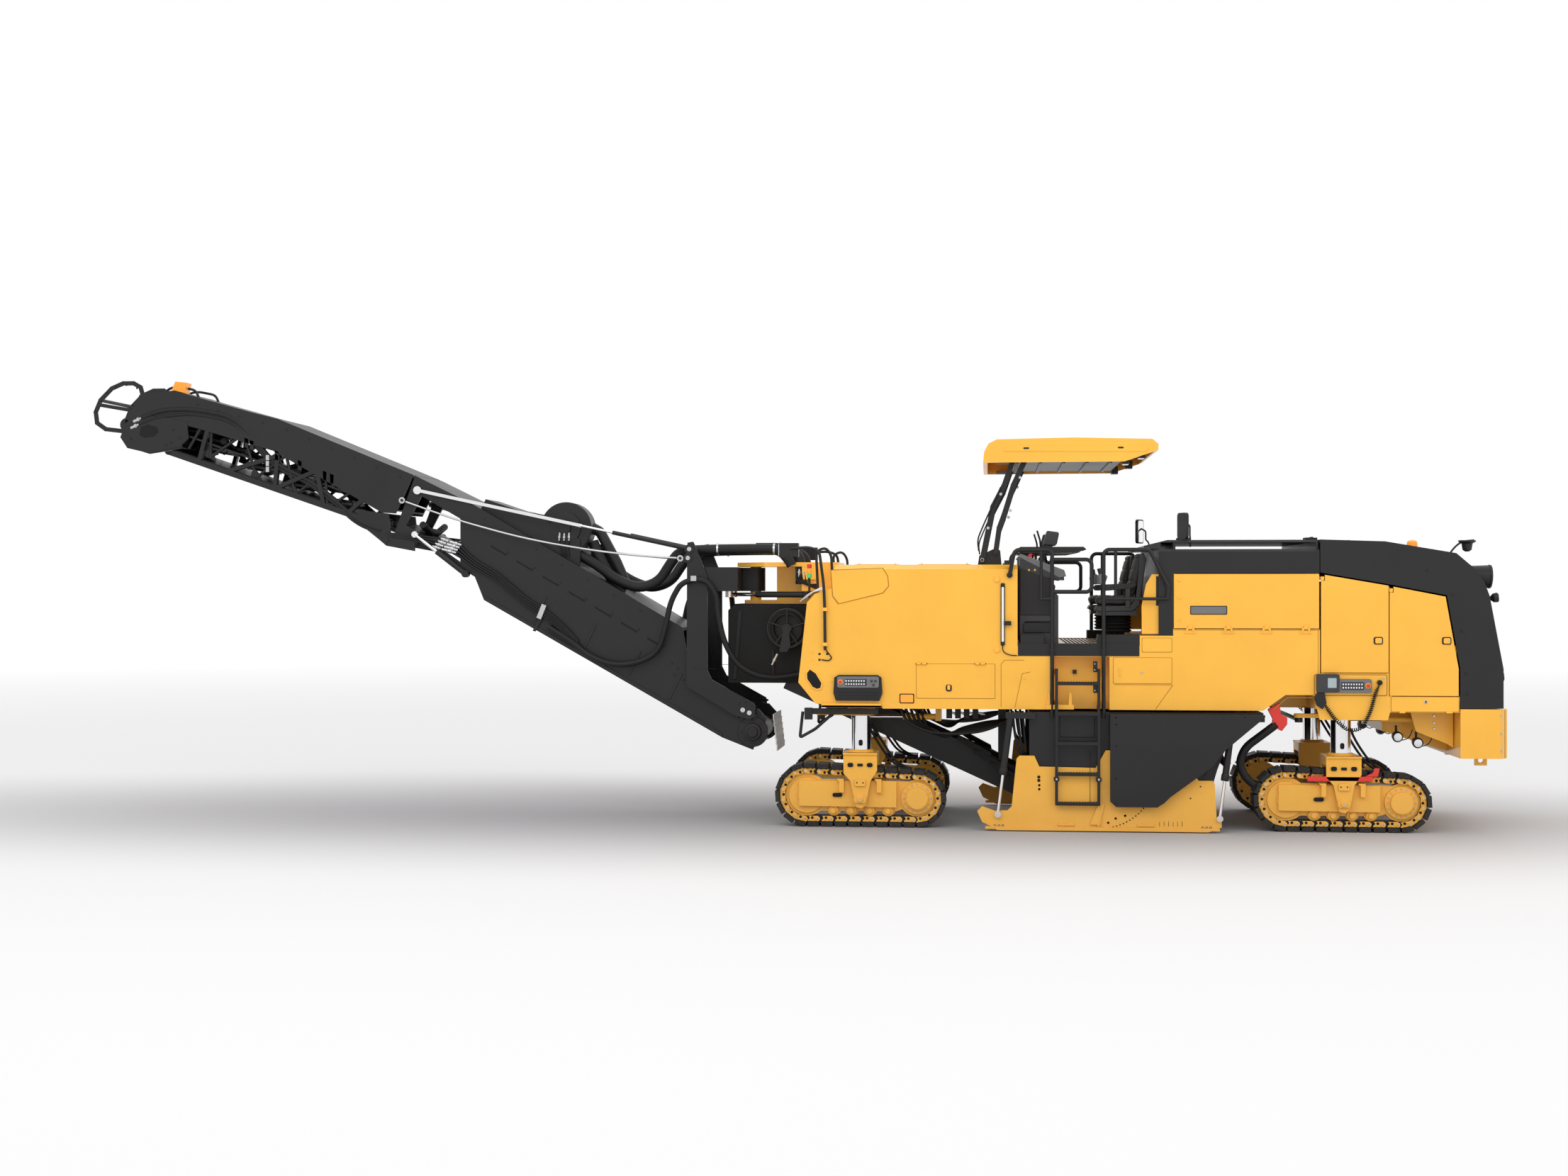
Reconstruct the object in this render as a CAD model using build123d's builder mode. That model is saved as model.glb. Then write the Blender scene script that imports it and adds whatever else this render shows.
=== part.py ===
"""Cold planer milling machine on four track units, in millimetres.

+X points to the rear of the machine, +Y to its right, +Z up. The origin is on
the ground under the middle of the whole machine. Each sub-part is one node.
"""

from build123d import *
from math import atan2, cos, degrees, hypot, pi, radians, sin
import os

# ------------------------------------------------------------- driving sizes
FIT = 0.3                     # gap at a seat, pin or slide
CLEAR = 8.0                   # gap between pieces that move past each other

FRONT_AXLE_X = 1013.0         # pin of the front track units
WHEELBASE = 4900.0
TRACK_Y = 950.0               # centre plane of each track unit
SHOE_WIDTH = 300.0
SHOE_COUNT = 30
SHOE_THICK = 42.0
SHOE_GAP = 26.0
CHAIN_THICK = 66.0
CHAIN_WIDTH = 190.0
IDLER_REACH = 563.0           # idler centre ahead of the pin
SPROCKET_REACH = 587.0        # sprocket centre behind the pin
IDLER_OUTER = 330.0           # idler centre to the face of the shoes
SPROCKET_OUTER = 300.0
ROLLER_RADIUS = 72.0
COLUMN_RADIUS = 100.0
FORK_THICK = 44.0
LEG_TUBE_FOOT = 1225.0

BODY_HALF = 1250.0            # outer face of the side panels
PANEL = 25.0
BODY_FLOOR = 1240.0
BODY_ROOF = 2720.0
BODY_REAR = 2630.0
BEAM_INNER = 500.0
BEAM_WIDTH = 100.0
BEAM_LOW = 1250.0
BEAM_TOP = 1780.0
DECK_TOP = 1910.0

SWING_X = -200.0              # vertical axis of the discharge conveyor
LIFT_Z = 1150.0               # cross axis that lifts the conveyor
BELT_HALF = 520.0             # inner face of the conveyor's side plates
CONVEYOR_PLATE = 30.0
SWING_PLATE = 30.0
FOLD_X = -4180.0
FOLD_Z = 3000.0

DRUM_X = 3450.0
DRUM_Z = 560.0
DRUM_SHELL = 395.0
DRUM_REACH = 515.0            # axis to the tips of the cutting tools
DRUM_HALF = 1000.0
PICK_ROWS = 4                 # helical rows on each half of the drum
PICKS_PER_ROW = 12
HOLDER_WIDE = 44.0
HOLDER_LONG = 84.0
HOLDER_DEEP = 150.0           # half of it stands proud of the shell
TOOL_COLLAR = 20.0            # radius where a cutting tool sits in its holder
TOOL_TIP = 7.0
TOOL_ANGLE = 40.0             # lean of a tool from the radial line
TOOL_PROUD = 1.1 * (DRUM_REACH - DRUM_SHELL - HOLDER_DEEP / 2)
SKIRT_FOOT = 12.0             # underside of the side plates over the ground
HOUSING_ROOF = 1215.0

REAR_FRONT = 4200.0           # front of the engine housing
REAR_BACK = 7040.0
HOOD_TOP = 2970.0
BUMPER_BACK = 7520.0

REAR_AXLE_X = FRONT_AXLE_X + WHEELBASE
BEAM_OUTER = BEAM_INNER + BEAM_WIDTH
CONVEYOR_HALF = BELT_HALF + CONVEYOR_PLATE
SWING_INNER = CONVEYOR_HALF + 50.0
SWING_OUTER = SWING_INNER + SWING_PLATE
SIDES = (("left", -1), ("right", 1))

os.makedirs("parts", exist_ok=True)


# ------------------------------------------------------------------- helpers
def save(piece, node):
    """Label a finished piece and write it to its own file."""
    piece.part.label = node
    export_step(piece.part, f"parts/{node}.step")


def slab(outline, y_one, y_two, mode=Mode.ADD):
    """An (x, z) outline made solid between two cross positions."""
    with BuildSketch(Plane.XZ.offset(-max(y_one, y_two))) as profile:
        with BuildLine():
            Polyline(*outline, close=True)
        make_face()
    extrude(profile.sketch, amount=abs(y_two - y_one), mode=mode)


def pair(outline, y_inner, y_outer, mode=Mode.ADD):
    """The same slab on both sides of the machine."""
    for _, side in SIDES:
        slab(outline, side * y_inner, side * y_outer, mode)


def block(x_low, x_high, y_low, y_high, z_low, z_high, mode=Mode.ADD):
    centre = ((x_low + x_high) / 2, (y_low + y_high) / 2, (z_low + z_high) / 2)
    with Locations(centre):
        Box(x_high - x_low, y_high - y_low, z_high - z_low, mode=mode)


def twin_block(x_low, x_high, y_inner, y_outer, z_low, z_high, mode=Mode.ADD):
    """The same block on both sides of the machine."""
    block(x_low, x_high, -y_outer, -y_inner, z_low, z_high, mode)
    block(x_low, x_high, y_inner, y_outer, z_low, z_high, mode)


def rod(start, end, radius, mode=Mode.ADD):
    """A round bar between two points."""
    run = Vector(*end) - Vector(*start)
    with BuildSketch(Plane(origin=start, z_dir=run)) as section:
        Circle(radius)
    extrude(section.sketch, amount=run.length, mode=mode)


def tube_run(points, bend, radius):
    """A bent tube: straight runs joined by arcs of one radius."""
    with BuildLine() as route:
        FilletPolyline(*points, radius=bend)
    with BuildSketch(Plane(origin=route.line @ 0, z_dir=route.line % 0)) as section:
        Circle(radius)
    sweep(section.sketch, path=route.line)


def polar(centre_x, centre_z, reach, turn):
    """A point in the side view, turned from +X towards +Z."""
    return centre_x + reach * cos(radians(turn)), centre_z + reach * sin(radians(turn))


def strip(start, end, low, high):
    """A side outline along a line, between two heights square to it."""
    run = hypot(end[0] - start[0], end[1] - start[1])
    across = (-(end[1] - start[1]) / run, (end[0] - start[0]) / run)
    if across[1] < 0:
        across = (-across[0], -across[1])
    return [
        (start[0] + across[0] * low, start[1] + across[1] * low),
        (end[0] + across[0] * low, end[1] + across[1] * low),
        (end[0] + across[0] * high, end[1] + across[1] * high),
        (start[0] + across[0] * high, start[1] + across[1] * high),
    ]


def ribbon(line, thick):
    """A side outline along a bent line, with its thickness under it."""
    return line + [(x, z - thick) for x, z in reversed(line)]


def along(start, end, reach):
    """Point on the line from start towards end, at a distance from start."""
    run = Vector(*end) - Vector(*start)
    point = Vector(*start) + run.normalized() * reach
    return (point.X, point.Y, point.Z)


def on_line(line, share):
    """Point at a share of the way along a two-point line."""
    (x_one, z_one), (x_two, z_two) = line
    return x_one + share * (x_two - x_one), z_one + share * (z_two - z_one)


def bar(start, end, width, y_one, y_two):
    """A flat bar between two points of the side view."""
    slab(strip(start, end, -width / 2, width / 2), y_one, y_two)


# --------------------------------------------------------------- track units
IDLER_Z = IDLER_OUTER
SPROCKET_Z = SPROCKET_OUTER
TRACK_DEPTH = SHOE_THICK + CHAIN_THICK
PIN_Z = 300.0
FORK_CROWN = 2 * IDLER_OUTER + 18.0
FORK_TOP = 775.0
STEER_ARM_Z = 1175.0
STEER_ARM_THICK = 40.0
STEER_ARM_REACH = 160.0
STEER_LUG_RADIUS = 42.0
TIE_ARM_REACH = 420.0


def track_point(axle_x, travel, half_shoe):
    """Middle of a shoe's face and its outward direction, in the side view.

    travel goes once round the loop from 0 to 1, along the ground first. Round
    the wheels a flat shoe lies on its chord.
    """
    front_x = axle_x - IDLER_REACH
    back_x = axle_x + SPROCKET_REACH
    span = back_x - front_x
    slope = 2 * atan2(SPROCKET_OUTER - IDLER_OUTER, span)
    back_wrap = SPROCKET_OUTER * (pi + slope)
    front_wrap = IDLER_OUTER * (pi - slope)
    left = travel * (2 * span + back_wrap + front_wrap)
    if left < span:
        return front_x + left, 0.0, -pi / 2
    left -= span
    if left < back_wrap:
        turn = -pi / 2 + left / SPROCKET_OUTER
        reach = (SPROCKET_OUTER**2 - half_shoe**2) ** 0.5
        return back_x + reach * cos(turn), SPROCKET_Z + reach * sin(turn), turn
    left -= back_wrap
    turn = pi / 2 + slope
    if left < span:
        share = left / span
        reach = SPROCKET_OUTER + share * (IDLER_OUTER - SPROCKET_OUTER)
        return back_x - share * span + reach * cos(turn), reach + reach * sin(turn), turn
    turn += (left - span) / IDLER_OUTER
    reach = (IDLER_OUTER**2 - half_shoe**2) ** 0.5
    return front_x + reach * cos(turn), IDLER_Z + reach * sin(turn), turn


def make_track(axle_x, side):
    """Closed chain of links with one plate shoe on each."""
    front = (axle_x - IDLER_REACH, IDLER_Z)
    back = (axle_x + SPROCKET_REACH, SPROCKET_Z)
    span = back[0] - front[0]
    around = span * 2 + pi * (IDLER_OUTER + SPROCKET_OUTER)
    shoe_length = around / SHOE_COUNT - SHOE_GAP
    with BuildPart() as track:
        for depth, mode in ((SHOE_THICK - 1, Mode.ADD), (TRACK_DEPTH, Mode.SUBTRACT)):
            with BuildSketch(Plane.XZ.offset(-(side * TRACK_Y + CHAIN_WIDTH / 2))):
                with Locations(front):
                    Circle(IDLER_OUTER - depth)
                with Locations(back):
                    Circle(SPROCKET_OUTER - depth)
                make_hull()
            extrude(amount=CHAIN_WIDTH, mode=mode)
        places = []
        for index in range(SHOE_COUNT):
            travel = (index + 0.5) / SHOE_COUNT
            x, z, turn = track_point(axle_x, travel, shoe_length / 2)
            places.append(Location((x, side * TRACK_Y, z), (0, 90 - degrees(turn), 0)))
        with Locations(places):
            Box(
                shoe_length,
                SHOE_WIDTH,
                SHOE_THICK,
                align=(Align.CENTER, Align.CENTER, Align.MAX),
            )
    return track


def make_leg(axle_x, side):
    """Lifting column, fork, track frame, idler, sprocket and rollers."""
    y = side * TRACK_Y
    inward = -side
    inner_half = SHOE_WIDTH / 2 + 6
    fork_half = inner_half + FORK_THICK
    wheel_half = CHAIN_WIDTH / 2 - 20
    front_x = axle_x - IDLER_REACH
    back_x = axle_x + SPROCKET_REACH
    idler_radius = IDLER_OUTER - TRACK_DEPTH - FIT
    sprocket_radius = SPROCKET_OUTER - TRACK_DEPTH - FIT
    frame_low = TRACK_DEPTH + ROLLER_RADIUS + FIT - 20
    fork_arm = [
        (axle_x - 175, FORK_TOP),
        (axle_x + 175, FORK_TOP),
        (axle_x + 175, 590),
        (axle_x + 105, 480),
        (axle_x + 62, PIN_Z - 60),
        (axle_x + 15, PIN_Z - 100),
        (axle_x - 45, PIN_Z - 85),
        (axle_x - 100, 480),
        (axle_x - 172, 560),
    ]
    with BuildPart() as leg:
        # column with the steering ring and its two arms
        with Locations((axle_x, y, FORK_TOP - 20)):
            Cylinder(
                COLUMN_RADIUS, 1180, align=(Align.CENTER, Align.CENTER, Align.MIN)
            )
        with Locations((axle_x, y, STEER_ARM_Z)):
            Cylinder(COLUMN_RADIUS + 38, STEER_ARM_THICK)
        with BuildSketch(Plane.XY.offset(STEER_ARM_Z - STEER_ARM_THICK / 2)):
            with BuildLine():
                Polyline(
                    (axle_x, y - 70),
                    (axle_x, y + 70),
                    (axle_x - TIE_ARM_REACH, y + 40),
                    (axle_x - TIE_ARM_REACH, y - 40),
                    close=True,
                )
            make_face()
            with Locations((axle_x - TIE_ARM_REACH, y)):
                Circle(50)
            with Locations((axle_x, y + inward * STEER_ARM_REACH)):
                Circle(STEER_LUG_RADIUS)
            with Locations((axle_x, y + inward * STEER_ARM_REACH / 2)):
                Rectangle(84, STEER_ARM_REACH)
        extrude(amount=STEER_ARM_THICK)
        # fork over the track
        block(
            axle_x - 175, axle_x + 175, y - fork_half, y + fork_half, FORK_CROWN, FORK_TOP
        )
        for face in (-1, 1):
            slab(fork_arm, y + face * inner_half, y + face * fork_half)
        # pin and the track frame that rocks on it
        rod((axle_x, y - fork_half - 12, PIN_Z), (axle_x, y + fork_half + 12, PIN_Z), 46)
        frame = [
            (front_x + 40, frame_low + 40),
            (front_x + 120, frame_low),
            (back_x - 220, frame_low),
            (back_x - 60, frame_low + 60),
            (back_x - 60, 470),
            (back_x - 190, 478),
            (front_x + 60, 492),
        ]
        slab(frame, y - wheel_half, y + wheel_half)
        outer_frame = [
            (axle_x - 640, 215), (axle_x + 372, 205), (axle_x + 372, 478), (axle_x - 640, 478)
        ]
        slab(outer_frame, y + side * wheel_half, y + side * (inner_half - 24))
        # wheels inside the chain
        for x, z, radius in (
            (front_x, IDLER_Z, idler_radius), (back_x, SPROCKET_Z, sprocket_radius)
        ):
            rod((x, y - wheel_half, z), (x, y + wheel_half, z), radius)
        rod(
            (back_x, y, SPROCKET_Z), (back_x, y + side * (inner_half - 10), SPROCKET_Z), 112
        )
        for index in range(4):
            x = axle_x - 278 + index * 188
            z = TRACK_DEPTH + ROLLER_RADIUS + FIT
            rod((x, y - wheel_half, z), (x, y + wheel_half, z), ROLLER_RADIUS)
    return leg


AXLES = (("front", FRONT_AXLE_X), ("rear", REAR_AXLE_X))
for axle_name, axle in AXLES:
    for side_name, side in SIDES:
        save(make_track(axle, side), f"track_{axle_name}_{side_name}")
        save(make_leg(axle, side), f"leg_{axle_name}_{side_name}")

# ---------------------------------------------------------- steering linkage
STEER_CYL_Y = TRACK_Y - STEER_ARM_REACH
STEER_EYE_Z = STEER_ARM_Z - STEER_ARM_THICK / 2 - FIT      # top face of the rod's eye
STEER_ROD_RADIUS = 17.0
STEER_BARREL_RADIUS = 32.0
STEER_BARREL_START = 430.0
STEER_BARREL_END = 800.0
TIE_DROP = 24.0

for axle_name, axle in AXLES:
    centre_z = STEER_EYE_Z - 24
    with BuildPart() as steer_rod:
        with Locations((axle, -STEER_CYL_Y, centre_z)):
            Cylinder(STEER_LUG_RADIUS, 48)
        rod(
            (axle, -STEER_CYL_Y, centre_z),
            (axle + STEER_BARREL_END - 120, -STEER_CYL_Y, centre_z),
            STEER_ROD_RADIUS,
        )
    save(steer_rod, f"steer_rod_{axle_name}")

    tie_x = axle - TIE_ARM_REACH
    tie_z = STEER_EYE_Z - TIE_DROP
    with BuildPart() as tie:
        rod((tie_x, -TRACK_Y, tie_z), (tie_x, TRACK_Y, tie_z), 22)
        for _, side in SIDES:
            with Locations((tie_x, side * TRACK_Y, tie_z)):
                Cylinder(40, 2 * TIE_DROP)
    save(tie, f"tie_rod_{axle_name}")

# ---------------------------------------------------------------- main frame
BEAM_FRONT = 640.0
LEG_TUBE_RADIUS = COLUMN_RADIUS + FIT + 42.0
LEG_TUBE_TOP = 2010.0
BUMPER_FRONT = REAR_BACK + FIT
LASH_X = 7360.0               # lashing eyes: place, plate and hole
LASH_Y = 700.0
LASH_Z = 715.0
LASH_THICK = 40.0
LASH_RADIUS = 28.0
TAIL_OUTLINE = [
    (6390, BODY_FLOOR + 20), (6390, 1000), (7030, 800), (7060, 800), (7060, BODY_FLOOR + 20)
]
CROSS_BEAMS = (  # front x, rear x, low z
    (BEAM_FRONT, BEAM_FRONT + 90, 1640),
    (2420, 2560, 1300),
    (4240, 4400, 1300),
    (6800, 6960, 1300),
)

with BuildPart() as main_frame:
    twin_block(BEAM_FRONT, 7060, BEAM_INNER, BEAM_OUTER, BEAM_LOW, BEAM_TOP)
    for x_low, x_high, z_low in CROSS_BEAMS:
        block(x_low, x_high, -BEAM_OUTER, BEAM_OUTER, z_low, BEAM_TOP)
    for axle in (FRONT_AXLE_X, REAR_AXLE_X):
        twin_block(axle - 110, axle + 110, BEAM_INNER, TRACK_Y, BEAM_LOW, 1700)
        for _, side in SIDES:
            with Locations((axle, side * TRACK_Y, LEG_TUBE_FOOT)):
                Cylinder(
                    LEG_TUBE_RADIUS,
                    LEG_TUBE_TOP - LEG_TUBE_FOOT,
                    align=(Align.CENTER, Align.CENTER, Align.MIN),
                )
                Cylinder(
                    COLUMN_RADIUS + FIT,
                    LEG_TUBE_TOP - LEG_TUBE_FOOT - 20,
                    align=(Align.CENTER, Align.CENTER, Align.MIN),
                    mode=Mode.SUBTRACT,
                )
        # steering cylinder and the bracket at its base
        barrel_start = (axle + STEER_BARREL_START, -STEER_CYL_Y, STEER_EYE_Z - 24)
        barrel_end = (axle + STEER_BARREL_END, -STEER_CYL_Y, STEER_EYE_Z - 24)
        rod(barrel_start, barrel_end, STEER_BARREL_RADIUS)
        rod(
            barrel_start,
            (barrel_end[0] - 20, barrel_end[1], barrel_end[2]),
            STEER_ROD_RADIUS + FIT,
            Mode.SUBTRACT,
        )
        block(
            barrel_end[0] - 30, barrel_end[0] + 30, -STEER_CYL_Y - 40, -BEAM_INNER,
            STEER_EYE_Z - 66, BODY_FLOOR + 60,
        )
    slab(TAIL_OUTLINE, -BEAM_OUTER, BEAM_OUTER)
    # counterweight bumper
    with BuildSketch(Plane.XY.offset(770)):
        with BuildLine():
            Polyline(
                (BUMPER_FRONT, -BODY_HALF),
                (BUMPER_BACK - 90, -BODY_HALF),
                (BUMPER_BACK, -BODY_HALF + 110),
                (BUMPER_BACK, BODY_HALF - 110),
                (BUMPER_BACK - 90, BODY_HALF),
                (BUMPER_FRONT, BODY_HALF),
                close=True,
            )
        make_face()
    extrude(amount=495)
    # lashing eyes under the bumper
    twin_block(
        LASH_X - 60, LASH_X + 60, LASH_Y - LASH_THICK / 2, LASH_Y + LASH_THICK / 2,
        LASH_Z - 55, 780,
    )
    for _, side in SIDES:
        rod(
            (LASH_X, side * (LASH_Y - LASH_THICK / 2), LASH_Z),
            (LASH_X, side * (LASH_Y + LASH_THICK / 2), LASH_Z), LASH_RADIUS, Mode.SUBTRACT,
        )
save(main_frame, "main_frame")

# ---------------------------------------------------------------- front body
FRONT_OUTLINE = [
    (560, 1285), (380, 1505), (470, 2330), (550, 2420), (745, 2485), (755, BODY_ROOF),
    (BODY_REAR, BODY_ROOF), (BODY_REAR, BODY_FLOOR), (1250, BODY_FLOOR), (1240, 1285),
]
FRONT_HOLLOW = [
    (600, 1200), (600, 1285), (408, 1515), (494, 2320), (565, 2398), (770, 2465),
    (780, BODY_ROOF - PANEL), (BODY_REAR - PANEL, BODY_ROOF - PANEL),
    (BODY_REAR - PANEL, 1200),
]
THROAT_HALF = 445.0           # half width of the opening for the pick-up conveyor
THROAT_LOW = 1270.0
THROAT_TOP = 1800.0
ROOF_SLOPE = 95.0

with BuildPart() as front_body:
    slab(FRONT_OUTLINE, -BODY_HALF, BODY_HALF)
    roof_edges = front_body.edges().filter_by(Axis.X).filter_by(
        lambda edge: abs(edge.center().Z - BODY_ROOF) < 1
    )
    chamfer(roof_edges, length=ROOF_SLOPE, length2=ROOF_SLOPE / 2)
    slab(FRONT_HOLLOW, -BODY_HALF + 2 * PANEL, BODY_HALF - 2 * PANEL, Mode.SUBTRACT)
    block(350, 700, -THROAT_HALF, THROAT_HALF, THROAT_LOW, THROAT_TOP, Mode.SUBTRACT)
    # slots over the beams, and ribs that carry the sides on them
    twin_block(
        BODY_REAR - 2 * PANEL, BODY_REAR + 1, BEAM_INNER - FIT, BEAM_OUTER + FIT,
        BODY_FLOOR - 1, BEAM_TOP + FIT, Mode.SUBTRACT,
    )
    for x in (1500, 2300):
        twin_block(x, x + PANEL, BEAM_OUTER + FIT, BODY_HALF - PANEL, BODY_FLOOR + 20, 1500)
save(front_body, "front_body")

# ------------------------------------------------------------- conveyor head
HEAD_PLATE_LOW = 2710.0
SWING_PIN_RADIUS = 60.0
SWING_BOSS_LOW = 2446.0
SWING_BOSS_HIGH = HEAD_PLATE_LOW - CLEAR
SWING_CYL_Z = 2410.0
SWING_BASE_X = 400.0
SWING_BASE_Y = 520.0
SWING_EYE_X = -470.0
SWING_EYE_Y = 200.0
SWING_PIVOT_RADIUS = 22.0
HEAD_PLATE = [(-380, -180), (-380, 180), (-60, 480), (740, 480), (740, -480), (-60, -480)]

FACE_CORNERS = [(x - FIT, z + FIT) for x, z in FRONT_OUTLINE[2:5]]
HEAD_BLOCK = (
    [(50, 2310), (467, 2310)]
    + FACE_CORNERS
    + [(FACE_CORNERS[-1][0], HEAD_PLATE_LOW), (50, HEAD_PLATE_LOW)]
)
CHEEK = (
    [(355, 2450), (540, 2450)]
    + FACE_CORNERS[1:]
    + [(FACE_CORNERS[-1][0], HEAD_PLATE_LOW), (355, HEAD_PLATE_LOW)]
)

with BuildPart() as conveyor_head:
    with BuildSketch(Plane.XY.offset(HEAD_PLATE_LOW)):
        with BuildLine():
            Polyline(*HEAD_PLATE, close=True)
        make_face()
    extrude(amount=45)
    slab(HEAD_BLOCK, -180, 180)
    block(SWING_X - 110, 60, -110, 110, 2310, 2350)
    with Locations((SWING_X, 0, 2340)):
        Cylinder(
            SWING_PIN_RADIUS,
            HEAD_PLATE_LOW - 2330,
            align=(Align.CENTER, Align.CENTER, Align.MIN),
        )
    # cheeks on the body's front carry the base pins of the swing cylinders
    for _, side in SIDES:
        slab(CHEEK, side * (SWING_BASE_Y - 60), side * (SWING_BASE_Y + 50))
        with Locations((SWING_BASE_X, side * SWING_BASE_Y, SWING_CYL_Z - 34)):
            Cylinder(
                SWING_PIVOT_RADIUS, 90, align=(Align.CENTER, Align.CENTER, Align.MIN)
            )
save(conveyor_head, "conveyor_head")

# --------------------------------------------------------------- swing frame
MAST_OUTLINE = [
    (-875, 1430), (-870, 2700), (-865, 2965), (-805, 2975), (-775, 2920), (-650, 2600),
    (-650, 1600), (-600, 1500), (-150, 1250), (SWING_X + 60, LIFT_Z + 20),
    (SWING_X + 60, LIFT_Z - 40), (SWING_X, LIFT_Z - 70), (SWING_X - 70, LIFT_Z - 50),
    (-350, 1120),
]
LIFT_PIN_RADIUS = 32.0
CYLINDER_PIN_X = -845.0
CYLINDER_PIN_Z = 2895.0

with BuildPart() as swing_frame:
    pair(MAST_OUTLINE, SWING_INNER, SWING_OUTER)
    # cross box behind the mast and the boss round the swing pin
    block(-760, -330, -SWING_INNER, SWING_INNER, SWING_BOSS_LOW, SWING_BOSS_HIGH)
    block(-340, SWING_X, -105, 105, SWING_BOSS_LOW, SWING_BOSS_HIGH)
    with Locations((SWING_X, 0, SWING_BOSS_LOW)):
        Cylinder(
            105,
            SWING_BOSS_HIGH - SWING_BOSS_LOW,
            align=(Align.CENTER, Align.CENTER, Align.MIN),
        )
        Cylinder(
            SWING_PIN_RADIUS + FIT,
            SWING_BOSS_HIGH - SWING_BOSS_LOW,
            align=(Align.CENTER, Align.CENTER, Align.MIN),
            mode=Mode.SUBTRACT,
        )
    # pins for the conveyor and for the lift cylinders
    for _, side in SIDES:
        rod(
            (SWING_X, side * SWING_OUTER, LIFT_Z),
            (SWING_X, side * (BELT_HALF - 12), LIFT_Z),
            LIFT_PIN_RADIUS,
        )
        rod(
            (CYLINDER_PIN_X, side * SWING_OUTER, CYLINDER_PIN_Z),
            (CYLINDER_PIN_X, side * (SWING_INNER - 70), CYLINDER_PIN_Z),
            24,
        )
save(swing_frame, "swing_frame")

SWING_BARREL_LENGTH = 600.0
SWING_ROD_START = 310.0
SWING_ROD_RADIUS = 20.0

for side_name, side in SIDES:
    base = (SWING_BASE_X, side * SWING_BASE_Y, SWING_CYL_Z)
    eye = (SWING_EYE_X, side * SWING_EYE_Y, SWING_CYL_Z)
    mouth = along(base, eye, SWING_BARREL_LENGTH)
    with BuildPart() as swing_barrel:
        rod(base, mouth, 32)
        with Locations(base):
            Cylinder(42, 60)
        rod(along(base, eye, 30), mouth, SWING_ROD_RADIUS + FIT, Mode.SUBTRACT)
        with Locations(base):
            Cylinder(SWING_PIVOT_RADIUS + FIT, 70, mode=Mode.SUBTRACT)
    save(swing_barrel, f"swing_barrel_{side_name}")

    eye_height = SWING_BOSS_LOW - FIT - (SWING_CYL_Z - 30)
    with BuildPart() as swing_rod:
        rod(along(base, eye, SWING_ROD_START), eye, SWING_ROD_RADIUS)
        with Locations((eye[0], eye[1], SWING_CYL_Z - 30)):
            Cylinder(42, eye_height, align=(Align.CENTER, Align.CENTER, Align.MIN))
    save(swing_rod, f"swing_rod_{side_name}")

# ---------------------------------------------------------- conveyor, lower
TAIL_X = -170.0
TAIL_Z = 945.0
TAIL_RADIUS = 198.0
LOWER_SIDE = [
    (TAIL_X, TAIL_Z - TAIL_RADIUS + 4), (-500, 880), (-3100, 2350), (-3200, 2600),
    (-3830, 2990), (-4070, 2930), (-4085, 3095), (-3860, 3700), (-3200, 3375), (-930, 2057),
    (-860, 1640), (-480, 1250), (TAIL_X - 90, LIFT_Z + 50), (TAIL_X + 60, LIFT_Z + 38),
    (TAIL_X + 150, LIFT_Z - 60),
]
COVER_LINE = [(-930, 2057), (-3200, 3375), (-3860, 3700)]
COVER_THICK = 34.0
LOWER_WINDOW = [(-3360, 2760), (-3800, 3060), (-3960, 3160), (-3790, 3480), (-3360, 3230)]
BELT_START = (-234.0, 1040.0)
BELT_END = (-4010.0, 3185.0)
RETURN_START = (-120.0, 800.0)
RETURN_END = (-3120.0, 2500.0)
HINGE_EAR = 26.0
HINGE_PIN_RADIUS = 34.0
STRAP_EYE = (-3830.0, 3540.0)
STRAP_Y = (CONVEYOR_HALF + SWING_INNER) / 2
STRAP_THICK = 14.0
FOLD_CYL_Y = CONVEYOR_HALF + 52.0
FOLD_BASE = (-3290.0, 2632.0)
FOLD_EYE = (-3850.0, 3060.0)
FOLD_BARREL_LENGTH = 400.0
FOLD_ROD_LENGTH = 620.0
FOLD_ROD_RADIUS = 17.0

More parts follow.
